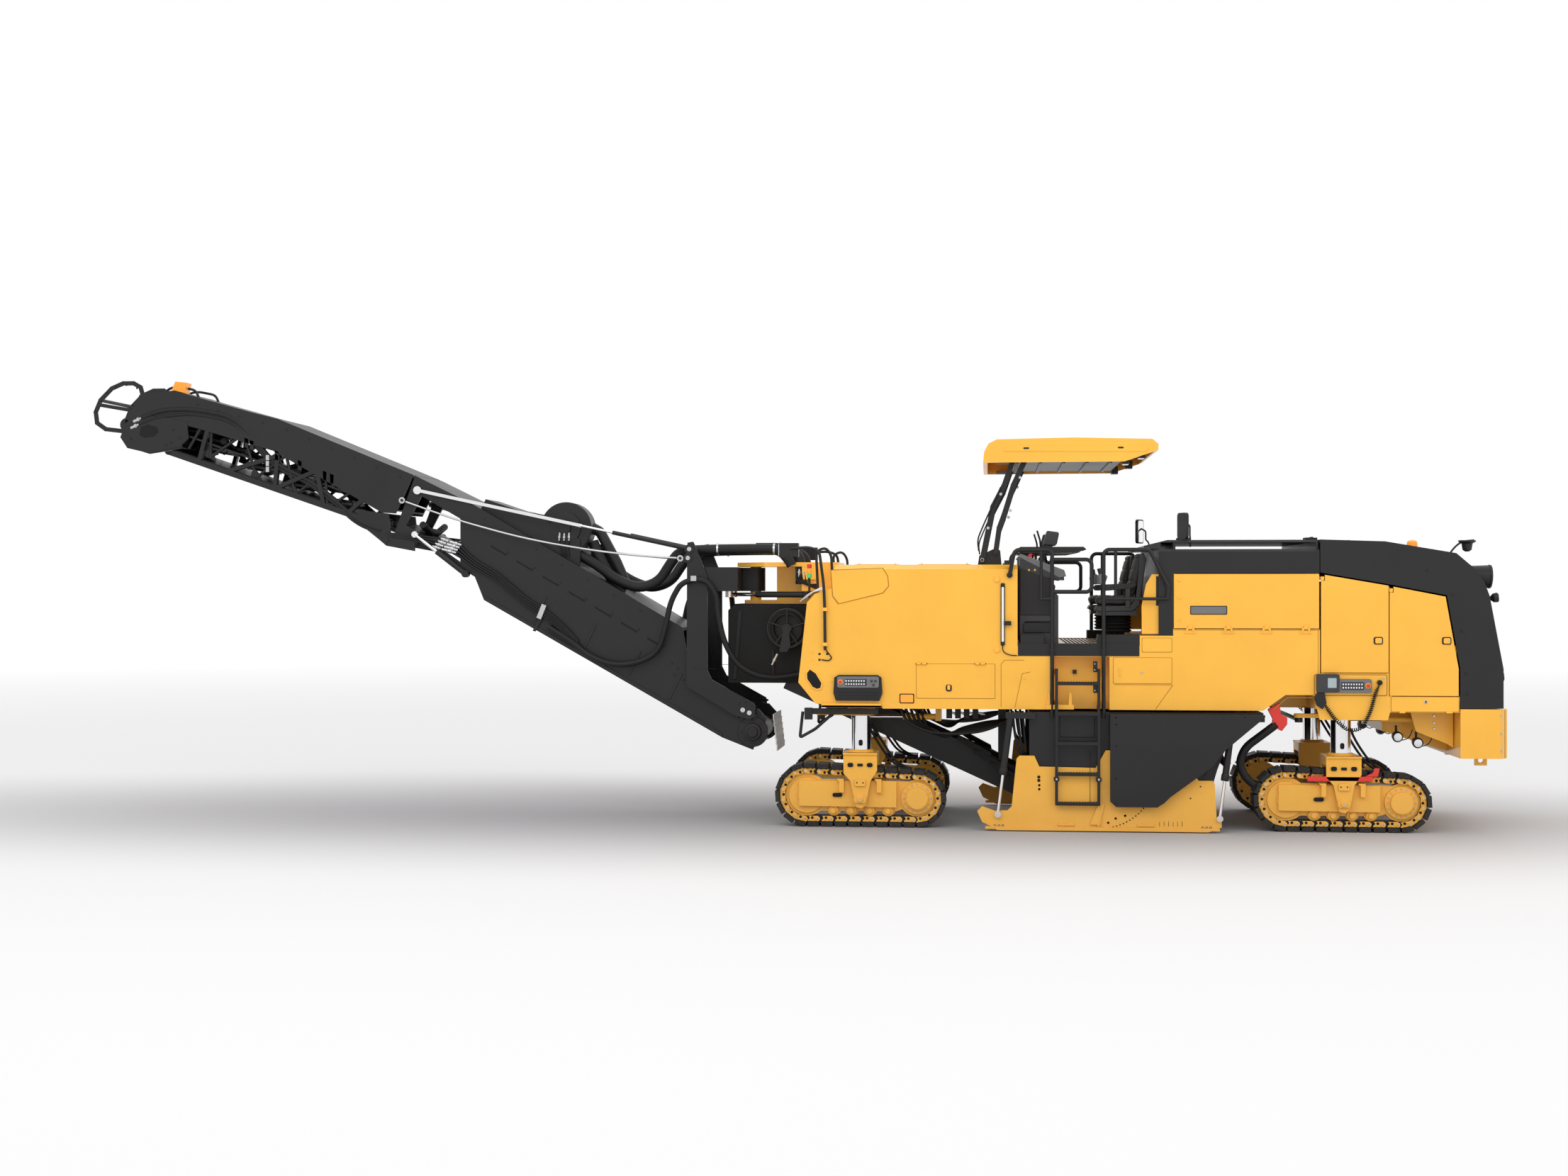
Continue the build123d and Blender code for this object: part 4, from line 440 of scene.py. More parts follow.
# --------------------------------------------------------------- detail kits
SLOTS = {
    name: slot for slot, names in (
        ("golden_paint", "yellow yellow_low line red orange green"),
        ("black_paint", "black black_rough seam"),
        ("black_rubber", "rubber hose"),
        ("track_steel", "shoe"),
        ("bare_steel", "steel chrome lens white mirror"),
        ("cast_metal", "cast"),
        ("grey_plastic", "plastic grey screen"),
        ("seat_vinyl", "vinyl"),
    ) for name in names.split()
}
SUNK = 0.004        # how deep a plate's back lies in the face that carries it
SEAM = 0.005        # width of the dark seam round a lid
EDGE = 0.003        # width of rounded edges, apart from the kits below
BEVELS = {
    name: width for width, names in (
        (0.0, "band bellows bolt bracket cap coil collar duct exhaust hole hose idler link mast "
              "pin pulley reel stay tread truss tube column_chrome display_black mirror_black "
              "ladder_black_rough chassis_lamp_black hood_lamp_orange"),
        (0.0015, "key"),
        (0.002, "wheel"),
        (0.004, "case_grey ladder_black latch louvre shoe canopy_lamp_black"),
        (0.005, "hook"),
        (0.006, "arm_plastic base beacon case_black lever"),
        (0.008, "clamp desk_grey display_plastic"),
        (0.01, "arm_grey head"),
        (0.012, "desk_black shell"),
        (0.014, "arm_vinyl"),
    ) for name in names.split()
}
KITS = {}


def kit(material, body="chassis", part="", bevel=None):
    """The collecting mesh for one material and part on one body."""
    key = (body, material, part)
    if key not in KITS:
        name = "_".join(word for word in (body, part, material) if word)
        if bevel is None:
            widths = [BEVELS[word] for word in (name, f"{part}_{material}", part)
                      if word in BEVELS]
            bevel = (widths + [EDGE])[0]
        KITS[key] = Kit(name + "_trim", body, SLOTS[material], material, bevel)
    return KITS[key]


def rounded(x_low, x_high, z_low, z_high, radius, steps=3):
    """An (x, z) outline with round corners."""
    outline = []
    for x, z, start in (
        (x_high - radius, z_low + radius, -90), (x_high - radius, z_high - radius, 0),
        (x_low + radius, z_high - radius, 90), (x_low + radius, z_low + radius, 180),
    ):
        for i in range(steps + 1):
            turn = radians(start + 90 * i / steps)
            outline.append((x + radius * cos(turn), z + radius * sin(turn)))
    return outline


def panel(material, body, x_low, x_high, z_low, z_high, face, proud, radius=0.012):
    """A plate that stands proud of a side face."""
    way = 1 if face > 0 else -1
    kit(material, body).prism(
        rounded(x_low, x_high, z_low, z_high, radius), face - SUNK * way, face + proud * way)


def hatch(material, body, x_low, x_high, z_low, z_high, face, proud=0.006):
    """A lid with a dark seam all round it."""
    panel("line" if material == "yellow" else "seam", body, x_low - SEAM, x_high + SEAM,
          z_low - SEAM, z_high + SEAM, face, 0.0015)
    panel(material, body, x_low, x_high, z_low, z_high, face, proud)


def along(start, end, share, lift=0.0):
    """A point between two (x, z) points, lifted square to the line."""
    (x, z), (X, Z) = start, end
    turn = atan2(Z - z, X - x)
    return (x + (X - x) * share - lift * sin(turn), z + (Z - z) * share + lift * cos(turn))


def hose(body, points, radius, material="hose", bend=0.12, sides=12):
    kit(material, body, "hose").tube(points, radius, sides, bend)


def coupling(body, start, end, radius, material="steel"):
    """A pressed hose end: collar, hexagon, nose."""
    kit(material, body, bevel=0.0).lathe(
        start, end,
        [(0, radius), (0.42, radius), (0.45, radius * 1.35), (0.68, radius * 1.35),
         (0.7, radius * 0.9), (1, radius * 0.8)], 12,
    )


def bolts(material, body, places, face, radius=0.011):
    for x, z in places:
        kit(material, body, "bolt").bolt(x, face, z, radius)


def keypad(x_low, step_x, z_low, step_z, y):
    """Two rows of eight keys."""
    for row in range(2):
        for column in range(8):
            x, z = x_low + step_x * column, z_low + step_z * row
            kit("lens", part="key").box(
                (x - 0.007, y, z - 0.008), (x + 0.007, y + 0.008, z + 0.008))


# ---------------------------------------------------------------- track units
TRACK_Y = 0.95
IDLER = (-0.563, 0.33)        # ahead of the pin and over the ground
SPROCKET = (0.587, 0.30)
AXLES = ((1.013, "front"), (5.913, "rear"))
LINKS = 30


def track_line(depth):
    """Points round a track, a depth inside the face of its shoes, with their headings."""
    (xi, ri), (xs, rs) = IDLER, SPROCKET
    straight = ((xs - xi) ** 2 + (ri - rs) ** 2) ** 0.5
    around = 2 * straight + pi * (ri + rs)
    line = []
    for i in range(LINKS):
        gone = (i + 0.5) / LINKS * around
        if gone < straight:
            line.append((xi + (xs - xi) * (gone / straight), depth, -pi / 2))
            continue
        gone -= straight
        if gone < pi * rs:
            turn = -pi / 2 + gone / rs
            line.append((xs + (rs - depth) * cos(turn), rs + (rs - depth) * sin(turn), turn))
            continue
        gone -= pi * rs
        if gone < straight:
            share = gone / straight
            z = 2 * rs + (2 * ri - 2 * rs) * share - depth
            line.append((xs + (xi - xs) * share, z, pi / 2))
            continue
        turn = pi / 2 + (gone - straight) / ri
        line.append((xi + (ri - depth) * cos(turn), ri + (ri - depth) * sin(turn), turn))
    return line


for axle_x, end in AXLES:
    for side, hand in SIDES:
        body = f"leg_{end}_{hand}"
        links = kit("yellow_low", body, "link")
        pins = kit("steel", body, "pin")
        holes = kit("seam", body, "hole")
        for x, z, turn in track_line(0.078):
            for across in (-1, 1):
                face = side * TRACK_Y + across * 0.096
                step_x, step_z = -sin(turn), cos(turn)
                outline = []
                for a, b in ((-0.056, -0.018), (-0.046, -0.03), (0.046, -0.03), (0.056, -0.018),
                        (0.056, 0.024), (-0.056, 0.024)):
                    outline.append((axle_x + x + step_x * a + cos(turn) * b,
                        z + step_z * a + sin(turn) * b))
                links.prism(outline, face - across * 0.004, face + across * 0.012)
                px, pz = axle_x + x + step_x * 0.042, z + step_z * 0.042
                links.disc(px, face + across * 0.008, pz, 0.026, across * 0.01, 14)
                pins.disc(px, face + across * 0.014, pz, 0.011, across * 0.006, 10)
                for a, b, radius in ((-0.012, 0.012, 0.015), (-0.056, 0.01, 0.017)):
                    holes.disc(axle_x + x + step_x * a - cos(turn) * b, face + across * 0.0115,
                        z + step_z * a - sin(turn) * b, radius, across * 0.0015, 10)
        # end blocks of the shoes
        pads = kit("shoe", body, "shoe")
        for x, z, turn in track_line(0.0):
            step_x, step_z = -sin(turn), cos(turn)
            outline = [(axle_x + x + step_x * a - cos(turn) * b, z + step_z * a - sin(turn) * b)
                for a, b in ((-0.05, 0.006), (0.05, 0.006), (0.052, 0.026), (0.042, 0.047),
                (-0.042, 0.047), (-0.052, 0.026))]
            for across in (-1, 1):
                edge = side * TRACK_Y + across * 0.15
                pads.prism(outline, edge - across * 0.034, edge + across * 0.002)
        shoes = kit("shoe", body, "bolt")
        for x, z, turn in track_line(0.0):
            for across in (-0.118, 0.118):
                for a in (-0.028, 0.028):
                    centre = Vector((axle_x + x - sin(turn) * a, side * TRACK_Y + across,
                        z + cos(turn) * a))
                    inward = Vector((-cos(turn), 0, -sin(turn)))
                    shoes.lathe(centre + inward * 0.043, centre + inward * 0.056,
                        [(0, 0.013), (1, 0.013)], 6)
        hub = kit("yellow_low", body, "wheel")
        hub.lathe((axle_x + SPROCKET[0], side * 1.03, SPROCKET[1]),
            (axle_x + SPROCKET[0], side * 1.098, SPROCKET[1]), [(0, 0.165), (0.35, 0.165),
            (0.4, 0.115), (0.92, 0.112), (1, 0.104)], 36)
        hub.lathe((axle_x + IDLER[0], side * 1.03, IDLER[1] - 0.008),
            (axle_x + IDLER[0], side * 1.066, IDLER[1] - 0.008),
            [(0, 0.19), (0.4, 0.185), (0.5, 0.1), (1, 0.095)], 36)
        for i in range(16):
            turn = 2 * pi * i / 16
            kit("steel", body, "bolt").bolt(axle_x + SPROCKET[0] + 0.142 * cos(turn), side * 1.054,
                SPROCKET[1] + 0.142 * sin(turn), 0.009, 0.01)
        for i in range(4):
            x = axle_x - 0.285 + 0.19 * i
            hub.lathe((x, side * 1.02, 0.165), (x, side * 1.085, 0.165),
                [(0, 0.052), (0.5, 0.052), (0.6, 0.03), (1, 0.028)], 20)
        face = side * 1.162
        # plates and holes of the fork, pin cap, frame lugs
        panel("yellow_low", body, axle_x - 0.065, axle_x + 0.065, 0.255, 0.335, face, 0.01, 0.03)
        hub.lathe((axle_x, side * 1.165, 0.295), (axle_x, side * 1.185, 0.295),
            [(0, 0.034), (0.7, 0.034), (1, 0.028)], 20)
        kit("steel", body, bevel=0.0).lathe((axle_x, side * 1.178, 0.295),
            (axle_x, side * 1.188, 0.295), [(0, 0.014), (1, 0.012)], 6)
        panel("yellow_low", body, axle_x - 0.055, axle_x + 0.055, 0.43, 0.5, face, 0.008)
        for x in (-0.032, 0.032):
            kit("seam", body).disc(axle_x + x, side * 1.168, 0.467, 0.008, side * 0.004, 12)
        for x in (-0.1, 0.1):
            kit("seam", body).prism(rounded(axle_x + x - 0.03, axle_x + x + 0.03, 0.628, 0.672,
                0.02, 4), side * 1.155, side * 1.1635)
        kit("seam", body).prism(rounded(axle_x - 0.028, axle_x + 0.028, 0.636, 0.664, 0.004),
            side * 1.155, side * 1.1635)
        kit("yellow_low", body, "fork").box((axle_x - 0.178, side * 1.1, 0.755),
            (axle_x + 0.178, side * 1.168, 0.775))
        kit("seam", body).prism(rounded(axle_x - 0.29, axle_x - 0.19, 0.312, 0.352, 0.018, 4),
            side * 1.02, side * 1.0995)
        for x in (-0.22, 0.17):
            kit("yellow_low", body, "fork").prism([(axle_x + x, 0.36), (axle_x + x + 0.05, 0.36),
                (axle_x + x + 0.05, 0.5), (axle_x + x - 0.02, 0.5), (axle_x + x - 0.02, 0.485),
                (axle_x + x, 0.475)], side * 1.02, side * 1.128)
        # bright lifting column with its gland; the dark strip on its chrome is a painted reflection
        column = kit("chrome", body, "column")
        column.lathe((axle_x, side * TRACK_Y, 0.78), (axle_x, side * TRACK_Y, 1.21),
            [(0, 0.1012), (1, 0.1012)], 48)
        kit("black", body, "column").lathe((axle_x, side * TRACK_Y, 1.19),
            (axle_x, side * TRACK_Y, 1.226), [(0, 0.116), (0.8, 0.118), (1, 0.112)], 40)
        kit("yellow_low", body, "fork").lathe((axle_x, side * TRACK_Y, 0.765),
            (axle_x, side * TRACK_Y, 0.8), [(0, 0.135), (0.7, 0.132), (1, 0.118)], 40)
        # painted reflection: a dark rounded patch laid on the front of the chrome column
        kit("seam", body).prism(rounded(axle_x - 0.022, axle_x + 0.022, 0.84, 0.905, 0.02, 4),
            side * 1.03, side * 1.0525)
        # painted reflection: a dark strip laid on the chrome face of the column
        kit("seam", body, "strip").box((axle_x - 0.072, side * 1.01, 0.8),
            (axle_x - 0.066, side * 1.032, 1.19))
        # hoses down to the drive motor
        for k in (0, 1):
            hose(body, [(axle_x + 0.06 + 0.05 * k, side * 0.83, 1.05),
                (axle_x + 0.12 + 0.05 * k, side * 0.76, 0.93),
                (axle_x + 0.2 + 0.05 * k, side * 0.745, 0.8),
                (axle_x + 0.3 + 0.05 * k, side * 0.775, 0.66),
                (axle_x + 0.42 + 0.05 * k, side * 0.8, 0.6)], 0.013)

# ----------------------------------------------------------- front body sides
SIDE = 1.25
COIL_TURNS = 46
for _ in both_sides():
    y = SIDE
    hatch("yellow", "chassis", 1.6, 2.4, 1.35, 1.7, SIDE)
    kit("yellow").prism([(0.8, 2.32), (1.25, 2.43), (1.31, 2.5), (1.3, 2.6), (1.25, 2.68),
        (0.72, 2.66), (0.74, 2.4)], y - 0.004, y + 0.012)
    kit("line").prism([(0.79, 2.312), (1.254, 2.424), (1.318, 2.498), (1.308, 2.604),
        (1.256, 2.688), (0.712, 2.668), (0.732, 2.395)], y - 0.004, y + 0.0015)
    for x in (1.65, 2.25):
        for k in (-0.028, 0.028):
            kit("yellow", part="hinge").rod((x + k - 0.024, y + 0.014, 1.703),
                (x + k + 0.024, y + 0.014, 1.703), 0.011, 12)
        kit("seam").box((x - 0.06, y, 1.696), (x + 0.06, y + 0.008, 1.71))
    # latch of the hatch
    kit("black").prism(rounded(1.9, 1.96, 1.42, 1.49, 0.02), y, y + 0.014)
    kit("yellow", part="hinge").prism(rounded(1.915, 1.945, 1.435, 1.485, 0.01), y + 0.01,
        y + 0.022)
    # round-cornered hole with a raised rim
    hole = [(0.47, 1.6), (0.5, 1.64), (0.56, 1.6), (0.62, 1.5), (0.61, 1.45), (0.575, 1.44),
        (0.53, 1.46), (0.475, 1.54)]
    rim = [(0.545 + (x - 0.545) * 1.22, 1.54 + (z - 1.54) * 1.18) for x, z in hole]
    kit("yellow").prism(rim, y - 0.004, y + 0.01)
    kit("seam").prism(hole, y, y + 0.0115)
    # shelf under the ground control
    kit("yellow").box((0.62, y - 0.02, 1.25), (1.24, y + 0.03, 1.275))
    kit("yellow").box((0.62, y + 0.02, 1.25), (1.24, y + 0.03, 1.292))
    # ground control: dark case, keys, red button
    kit("black", part="case").prism([(0.77, 1.32), (1.22, 1.32), (1.25, 1.4), (1.24, 1.56),
        (1.2, 1.585), (0.8, 1.585), (0.755, 1.56), (0.745, 1.4)], y - 0.004, y + 0.04)
    kit("grey", part="case").prism(rounded(0.785, 1.215, 1.455, 1.57, 0.02), y + 0.03, y + 0.05)
    kit("plastic", part="case").prism(rounded(0.865, 1.09, 1.475, 1.545, 0.008), y + 0.04,
        y + 0.054)
    keypad(0.879, 0.0262, 1.493, 0.033, y + 0.05)
    kit("yellow", part="case").disc(0.818, y + 0.045, 1.512, 0.026, 0.01)
    kit("red", part="case").disc(0.818, y + 0.05, 1.512, 0.019, 0.026, 20)
    for x, z in ((1.14, 1.525), (1.18, 1.525), (1.16, 1.485)):
        kit("plastic", part="case").disc(x, y + 0.046, z, 0.012, 0.016, 14)
    for k in range(3):
        kit("black", part="case").box((0.8, y + 0.036, 1.345 + 0.03 * k),
            (1.2, y + 0.045, 1.36 + 0.03 * k))
    # reflector, light bar with its bosses and lead
    panel("black", "chassis", 1.425, 1.575, 1.295, 1.395, SIDE, 0.006, 0.01)
    # painted light: the reflector takes the glowing orange of the lamps, though it gives no light
    kit("orange", part="lamp").prism(rounded(1.435, 1.565, 1.305, 1.385, 0.01), y, y + 0.014)
    kit("black", part="case").prism(rounded(2.458, 2.502, 1.89, 2.53, 0.012), y, y + 0.02)
    kit("lens", part="lamp").prism(rounded(2.468, 2.492, 1.93, 2.49, 0.008), y + 0.01, y + 0.027)
    for z in (1.85, 2.57):
        kit("yellow").disc(2.42, y - 0.002, z, 0.03, 0.016)
    hose("chassis", [(2.478, y + 0.012, 1.9), (2.48, y + 0.012, 1.83), (2.54, y + 0.012, 1.795),
        (2.625, y + 0.012, 1.79)], 0.005)
    for x, z in ((0.6, 1.8), (0.6, 1.74), (0.68, 1.8)):
        kit("black").box((x - 0.011, y, z - 0.011), (x + 0.011, y + 0.006, z + 0.011))
    for x, z in ((0.53, 1.82), (0.53, 1.74), (0.72, 1.58), (0.72, 1.52), (2.7, 1.62), (2.7, 1.56)):
        kit("yellow").disc(x, y - 0.002, z, 0.014, 0.006, 16)
    # tube that carries the front lamps, with its lead
    kit("black", part="tube").tube([(0.66, y + 0.02, 1.84), (0.655, y + 0.03, 2.3),
        (0.645, y + 0.03, 2.52), (0.6, y + 0.03, 2.86), (0.5, y + 0.03, 2.9), (0.3, y, 2.89)],
        0.015, 12, 0.08)
    for z in (1.9, 2.26):
        kit("yellow").box((0.635, y, z - 0.018), (0.685, y + 0.045, z + 0.018))
    hose("chassis", [(0.66, y + 0.02, 1.85), (0.7, y + 0.02, 1.8), (0.73, y + 0.012, 1.76),
        (0.7, y + 0.01, 1.73), (0.62, y + 0.01, 1.74)], 0.006, bend=0.04)
    # handrail ahead of the deck and the three signal lights
    kit("black", part="tube").tube([(0.58, y - 0.03, 2.48), (0.56, y - 0.05, 2.86),
        (0.66, y - 0.05, 2.9), (0.72, y - 0.04, 2.82), (0.73, y - 0.03, 2.56)], 0.014, 12, 0.06)
    for z, tone in ((2.705, "red"), (2.655, "orange"), (2.605, "green")):
        kit(tone, part="lamp").lathe((0.49, y - 0.06, z - 0.022), (0.49, y - 0.06, z + 0.022),
            [(0, 0.022), (0.1, 0.024), (0.9, 0.024), (1, 0.022)], 20)
    kit("black", part="tube").rod((0.49, y - 0.06, 2.44), (0.49, y - 0.06, 2.584), 0.012, 12)
    # work lamp
    kit("black", part="case").box((0.18, y, 2.8), (0.38, y - 0.12, 2.945))
    kit("lens", part="lamp").box((0.172, y - 0.012, 2.815), (0.182, y - 0.108, 2.93))
    # grab rails in bright tube beside the front corner
    for k in range(3):
        kit("steel", part="tube").tube([(0.4 + 0.03 * k, y + 0.012, 2.34 + 0.02 * k),
            (0.5 + 0.03 * k, y + 0.016, 2.43 + 0.015 * k), (0.66, y + 0.016, 2.475 + 0.012 * k)],
            0.006, 8, 0.05)
    # lower rear corner: fender line, step bracket and hinges beside the ladder
    kit("line").prism([(2.46, 1.26), (2.466, 1.26), (2.466, 1.7), (2.5, 1.74), (2.7, 1.74),
        (2.7, 1.746), (2.497, 1.746), (2.46, 1.703)], y, y + 0.0015)
    kit("line").prism([(2.6, 1.26), (2.606, 1.26), (2.68, 1.6), (2.76, 1.62), (2.76, 1.626),
        (2.675, 1.606)], y, y + 0.0015)
    kit("yellow").box((2.92, y - 0.02, 1.243), (3.2, y + 0.045, 1.29))
    for x in (2.945, 3.165):
        kit("yellow").prism([(x - 0.018, 1.27), (x + 0.018, 1.27), (x + 0.012, 1.42),
            (x - 0.012, 1.42)], y + 0.006, y + 0.022)
    for z in (1.47, 1.68):
        kit("black").box((3.395, y - 0.03, z - 0.055), (3.435, y + 0.1, z + 0.055))
        bolts("steel", "chassis", [(3.407, z + 0.03), (3.407, z - 0.03)], SIDE + 0.1, 0.008)
    kit("black").box((3.195, y - 0.19, 1.6), (3.235, y - 0.14, 1.64))
    # ladder in black tube with ribbed treads and its fold joint
    for x in (3.0225, 3.4475):
        kit("black", part="ladder").box((x - 0.0145, 1.3285, 0.274), (x + 0.0145, 1.3715, 1.662))
        kit("black", part="ladder").disc(x, 1.325, 0.54, 0.03, 0.056, 20)
        kit("steel").disc(x, 1.375, 0.54, 0.012, 0.01, 6)
        kit("black", part="ladder").box((x - 0.016, 1.245, 1.24), (x + 0.016, 1.345, 1.29))
    for z in (0.29, 0.59, 0.9, 1.2, 1.51):
        kit("black", part="ladder").box((3.02, 1.3265, z - 0.017), (3.45, 1.3735, z + 0.017))
        for k in range(14):
            x = 3.045 + 0.029 * k
            kit("black_rough", part="ladder").box((x, 1.33, z + 0.015),
                (x + 0.012, 1.37, z + 0.0215))
    # deck edge and step boxes in black
    kit("black", part="deck").box((2.634, y - 0.1, 1.785), (3.862, y + 0.004, 1.914))
    for x_low, x_high in ((2.66, 2.9), (3.44, 3.86)):
        kit("black", part="deck").box((x_low, y - 0.16, 1.9), (x_high, y - 0.004, 2.005))
    # boxes behind the ladder
    hatch("yellow", "chassis", 3.6, 4.185, 1.51, 1.77, SIDE, 0.004)
    kit("line").prism([(3.61, 1.5), (3.61, 1.494), (4.19, 1.494), (4.19, 1.5)], y, y + 0.002)
    kit("line").prism([(4.02, 1.25), (4.027, 1.25), (4.2, 1.494), (4.192, 1.494)], y, y + 0.002)
    kit("yellow").box((3.655, y, 1.585), (3.675, y + 0.012, 1.67))
    kit("steel").disc(3.885, y, 1.625, 0.012, 0.012, 16)
    hatch("yellow", "chassis", 3.89, 4.185, 1.83, 1.97, SIDE, 0.004)

# top of the front body: plates and their bolts
for x_low, x_high, y_low, y_high in ((0.95, 1.4, -0.95, -0.3), (0.95, 1.4, 0.3, 0.95),
        (1.6, 2.15, -0.95, 0.95)):
    kit("seam").box((x_low - 0.006, y_low - 0.006, 2.715), (x_high + 0.006, y_high + 0.006, 2.7215))
    kit("yellow").box((x_low, y_low, 2.715), (x_high, y_high, 2.728))
    for x in (x_low + 0.04, x_high - 0.04):
        for y in (y_low + 0.04, y_high - 0.04):
            kit("steel", part="bolt").lathe((x, y, 2.727), (x, y, 2.736), [(0, 0.012), (1, 0.01)],
                6)

# ------------------------------------------------------------- rear body sides
for out, hand in both_sides():
    y = SIDE
    front_door, rear_door, lid = (f"door_front_{hand}", f"door_rear_{hand}", f"side_lid_{hand}")
    # fascia round the side lid and its bolts
    kit("line").box((4.206, y - 0.004, 2.052), (5.66, y + 0.0015, 2.06))
    for z in (2.16, 2.38, 2.56):
        kit("yellow", lid).disc(4.262, y - 0.002, z, 0.017, 0.008, 16)
    panel("black", lid, 4.37, 4.74, 2.21, 2.3, SIDE, 0.004, 0.01)
    panel("grey", lid, 4.378, 4.732, 2.218, 2.292, SIDE, 0.005, 0.008)
    for x in (4.37, 4.75, 5.13, 5.52):
        kit("yellow", part="hinge").box((x - 0.06, y - 0.002, 2.018), (x + 0.06, y + 0.008, 2.05))
    # latches with a bright paddle
    for body, x, z in ((front_door, 6.235, 1.95), (rear_door, 6.905, 1.95)):
        kit("black", body).prism(rounded(x - 0.046, x + 0.046, z - 0.038, z + 0.038, 0.018),
            y - 0.004, y + 0.006)
        kit("yellow", body, "latch").prism(rounded(x - 0.032, x + 0.034, z - 0.028, z + 0.028,
            0.012), y, y + 0.02)
        kit("steel", body).disc(x + 0.02, y + 0.016, z, 0.009, 0.008, 14)
    # lower flap with its turn latch and hinges
    hatch("yellow", "chassis", 6.362, 7.022, 1.238, 1.385, SIDE, 0.005)
    kit("steel").disc(6.7, y, 1.338, 0.018, 0.012, 20)
    kit("black").box((6.693, y + 0.008, 1.325), (6.707, y + 0.016, 1.351))
    for x in (6.47, 6.93):
        kit("yellow", part="hinge").rod((x - 0.03, y + 0.008, 1.232), (x + 0.03, y + 0.008, 1.232),
            0.011, 12)
    # panel seams of the fixed side
    for line in ([(5.64, 1.36), (5.646, 1.36), (5.646, 2.05), (5.64, 2.05)], [(5.2, 1.245),
            (5.34, 1.37), (5.7, 1.37), (5.7, 1.376), (5.335, 1.376), (5.192, 1.245)]):
        kit("line").prism(line, y - 0.003, y + 0.0015)
    # ground control: display, keys, red button, coiled lead and its socket
    kit("line").prism(rounded(5.6, 6.325, 1.392, 1.612, 0.02), y - 0.002, y + 0.0015)
    kit("yellow", part="case").prism(rounded(5.612, 6.315, 1.402, 1.602, 0.016), y - 0.002,
        y + 0.006)
    kit("plastic", part="case").prism(rounded(5.62, 5.845, 1.43, 1.615, 0.02), y, y + 0.06)
    kit("grey", part="case").prism(rounded(5.64, 6.165, 1.425, 1.565, 0.018), y, y + 0.04)
    kit("screen", part="case").prism(rounded(5.728, 5.815, 1.475, 1.575, 0.006), y + 0.05,
        y + 0.0625)
    kit("plastic", part="case").prism(rounded(5.865, 6.088, 1.455, 1.535, 0.008), y + 0.03,
        y + 0.044)
    keypad(5.882, 0.0264, 1.478, 0.034, y + 0.04)
    kit("yellow", part="case").disc(6.128, y + 0.036, 1.497, 0.028, 0.01)
    kit("red", part="case").disc(6.128, y + 0.042, 1.497, 0.02, 0.026, 20)
    kit("black", part="case").prism([(5.63, 1.43), (5.7, 1.43), (5.72, 1.32), (5.68, 1.26),
        (5.62, 1.3), (5.6, 1.38)], y + 0.005, y + 0.045)
    kit("black", part="case").disc(6.245, y, 1.53, 0.026, 0.045, 20)
    kit("steel").disc(6.285, y, 1.575, 0.01, 0.016, 12)
    # the coil is worked out where it really lies, so that it winds the same way on both sides
    guide = smooth_line([(x, y * out, z) for x, y, z in ((5.69, 1.28, 1.33), (5.8, 1.28, 1.16),
        (5.93, 1.285, 1.045), (6.06, 1.285, 1.06), (6.15, 1.28, 1.22), (6.2, 1.29, 1.42),
        (6.245, 1.3, 1.53))], 0.12, 8)
    lengths = [0.0]
    for one, two in zip(guide, guide[1:]):
        lengths.append(lengths[-1] + (two - one).length)
    curl, steps, upright = [], COIL_TURNS * 10, Vector((0, 1, 0))
    for i in range(steps + 1):
        gone = lengths[-1] * i / steps
        k = min(max(j for j in range(len(lengths)) if lengths[j] <= gone + 1e-9), len(guide) - 2)
        point = guide[k].lerp(guide[k + 1], (gone - lengths[k]) / (lengths[k + 1] - lengths[k]))
        square = (guide[k + 1] - guide[k]).normalized().cross(upright).normalized()
        reach = 0.017 * min(1.0, 12 * i / steps, 12 * (1 - i / steps))
        turn = 2 * pi * i / 10
        x, y, z = point + square * reach * cos(turn) + upright * reach * sin(turn)
        curl.append((x, y * out, z))
    y = SIDE
    kit("hose", part="coil").tube(curl, 0.0052, 6)
    # tail frame: bolted bracket, lamps and their leads
    kit("yellow", part="tail").prism([(6.6, 1.235), (7.03, 1.235), (7.03, 0.86), (6.96, 0.9),
        (6.66, 1.02)], y - 0.3, y - 0.285)
    bolts("steel", "chassis", [(6.84, 1.18), (6.84, 1.11), (6.84, 1.05)], SIDE - 0.285, 0.014)
    for x, z in ((6.47, 0.98), (6.67, 0.92)):
        kit("black", part="lamp").lathe((x, y - 0.34, z), (x, y - 0.22, z - 0.015),
            [(0, 0.024), (0.3, 0.05), (0.9, 0.055), (1, 0.048)], 20)
        kit("lens", part="lamp").lathe((x, y - 0.222, z - 0.014), (x, y - 0.214, z - 0.015),
            [(0, 0.044), (1, 0.03)], 20)
        kit("black", part="tube").rod((x, y - 0.33, z), (x, y - 0.33, z + 0.1), 0.012, 12)
        hose("chassis", [(x, y - 0.34, z), (x + 0.05, y - 0.34, z - 0.06),
            (x + 0.13, y - 0.32, z - 0.03), (x + 0.16, y - 0.3, z + 0.06)], 0.005, bend=0.05)
    # bumper: seam and bolt row
    kit("seam").box((7.47, y - 0.004, 0.775), (7.475, y + 0.001, 1.262))
    bolts("steel", "chassis", [(7.44, 1.2), (7.44, 1.02), (7.44, 0.85)], SIDE, 0.01)
    # screws of the dark hood band
    bolts("black", "hood", [(6.72, 2.66), (6.97, 2.42), (7.055, 2.05), (7.1, 1.62), (7.11, 1.42)],
        SIDE, 0.015)
    # seam of the dark band
    kit("seam", "hood").prism([(5.69, 2.955), (6.6, 2.9), (6.6, 2.894), (5.69, 2.949)], y - 0.045,
        y - 0.0435)
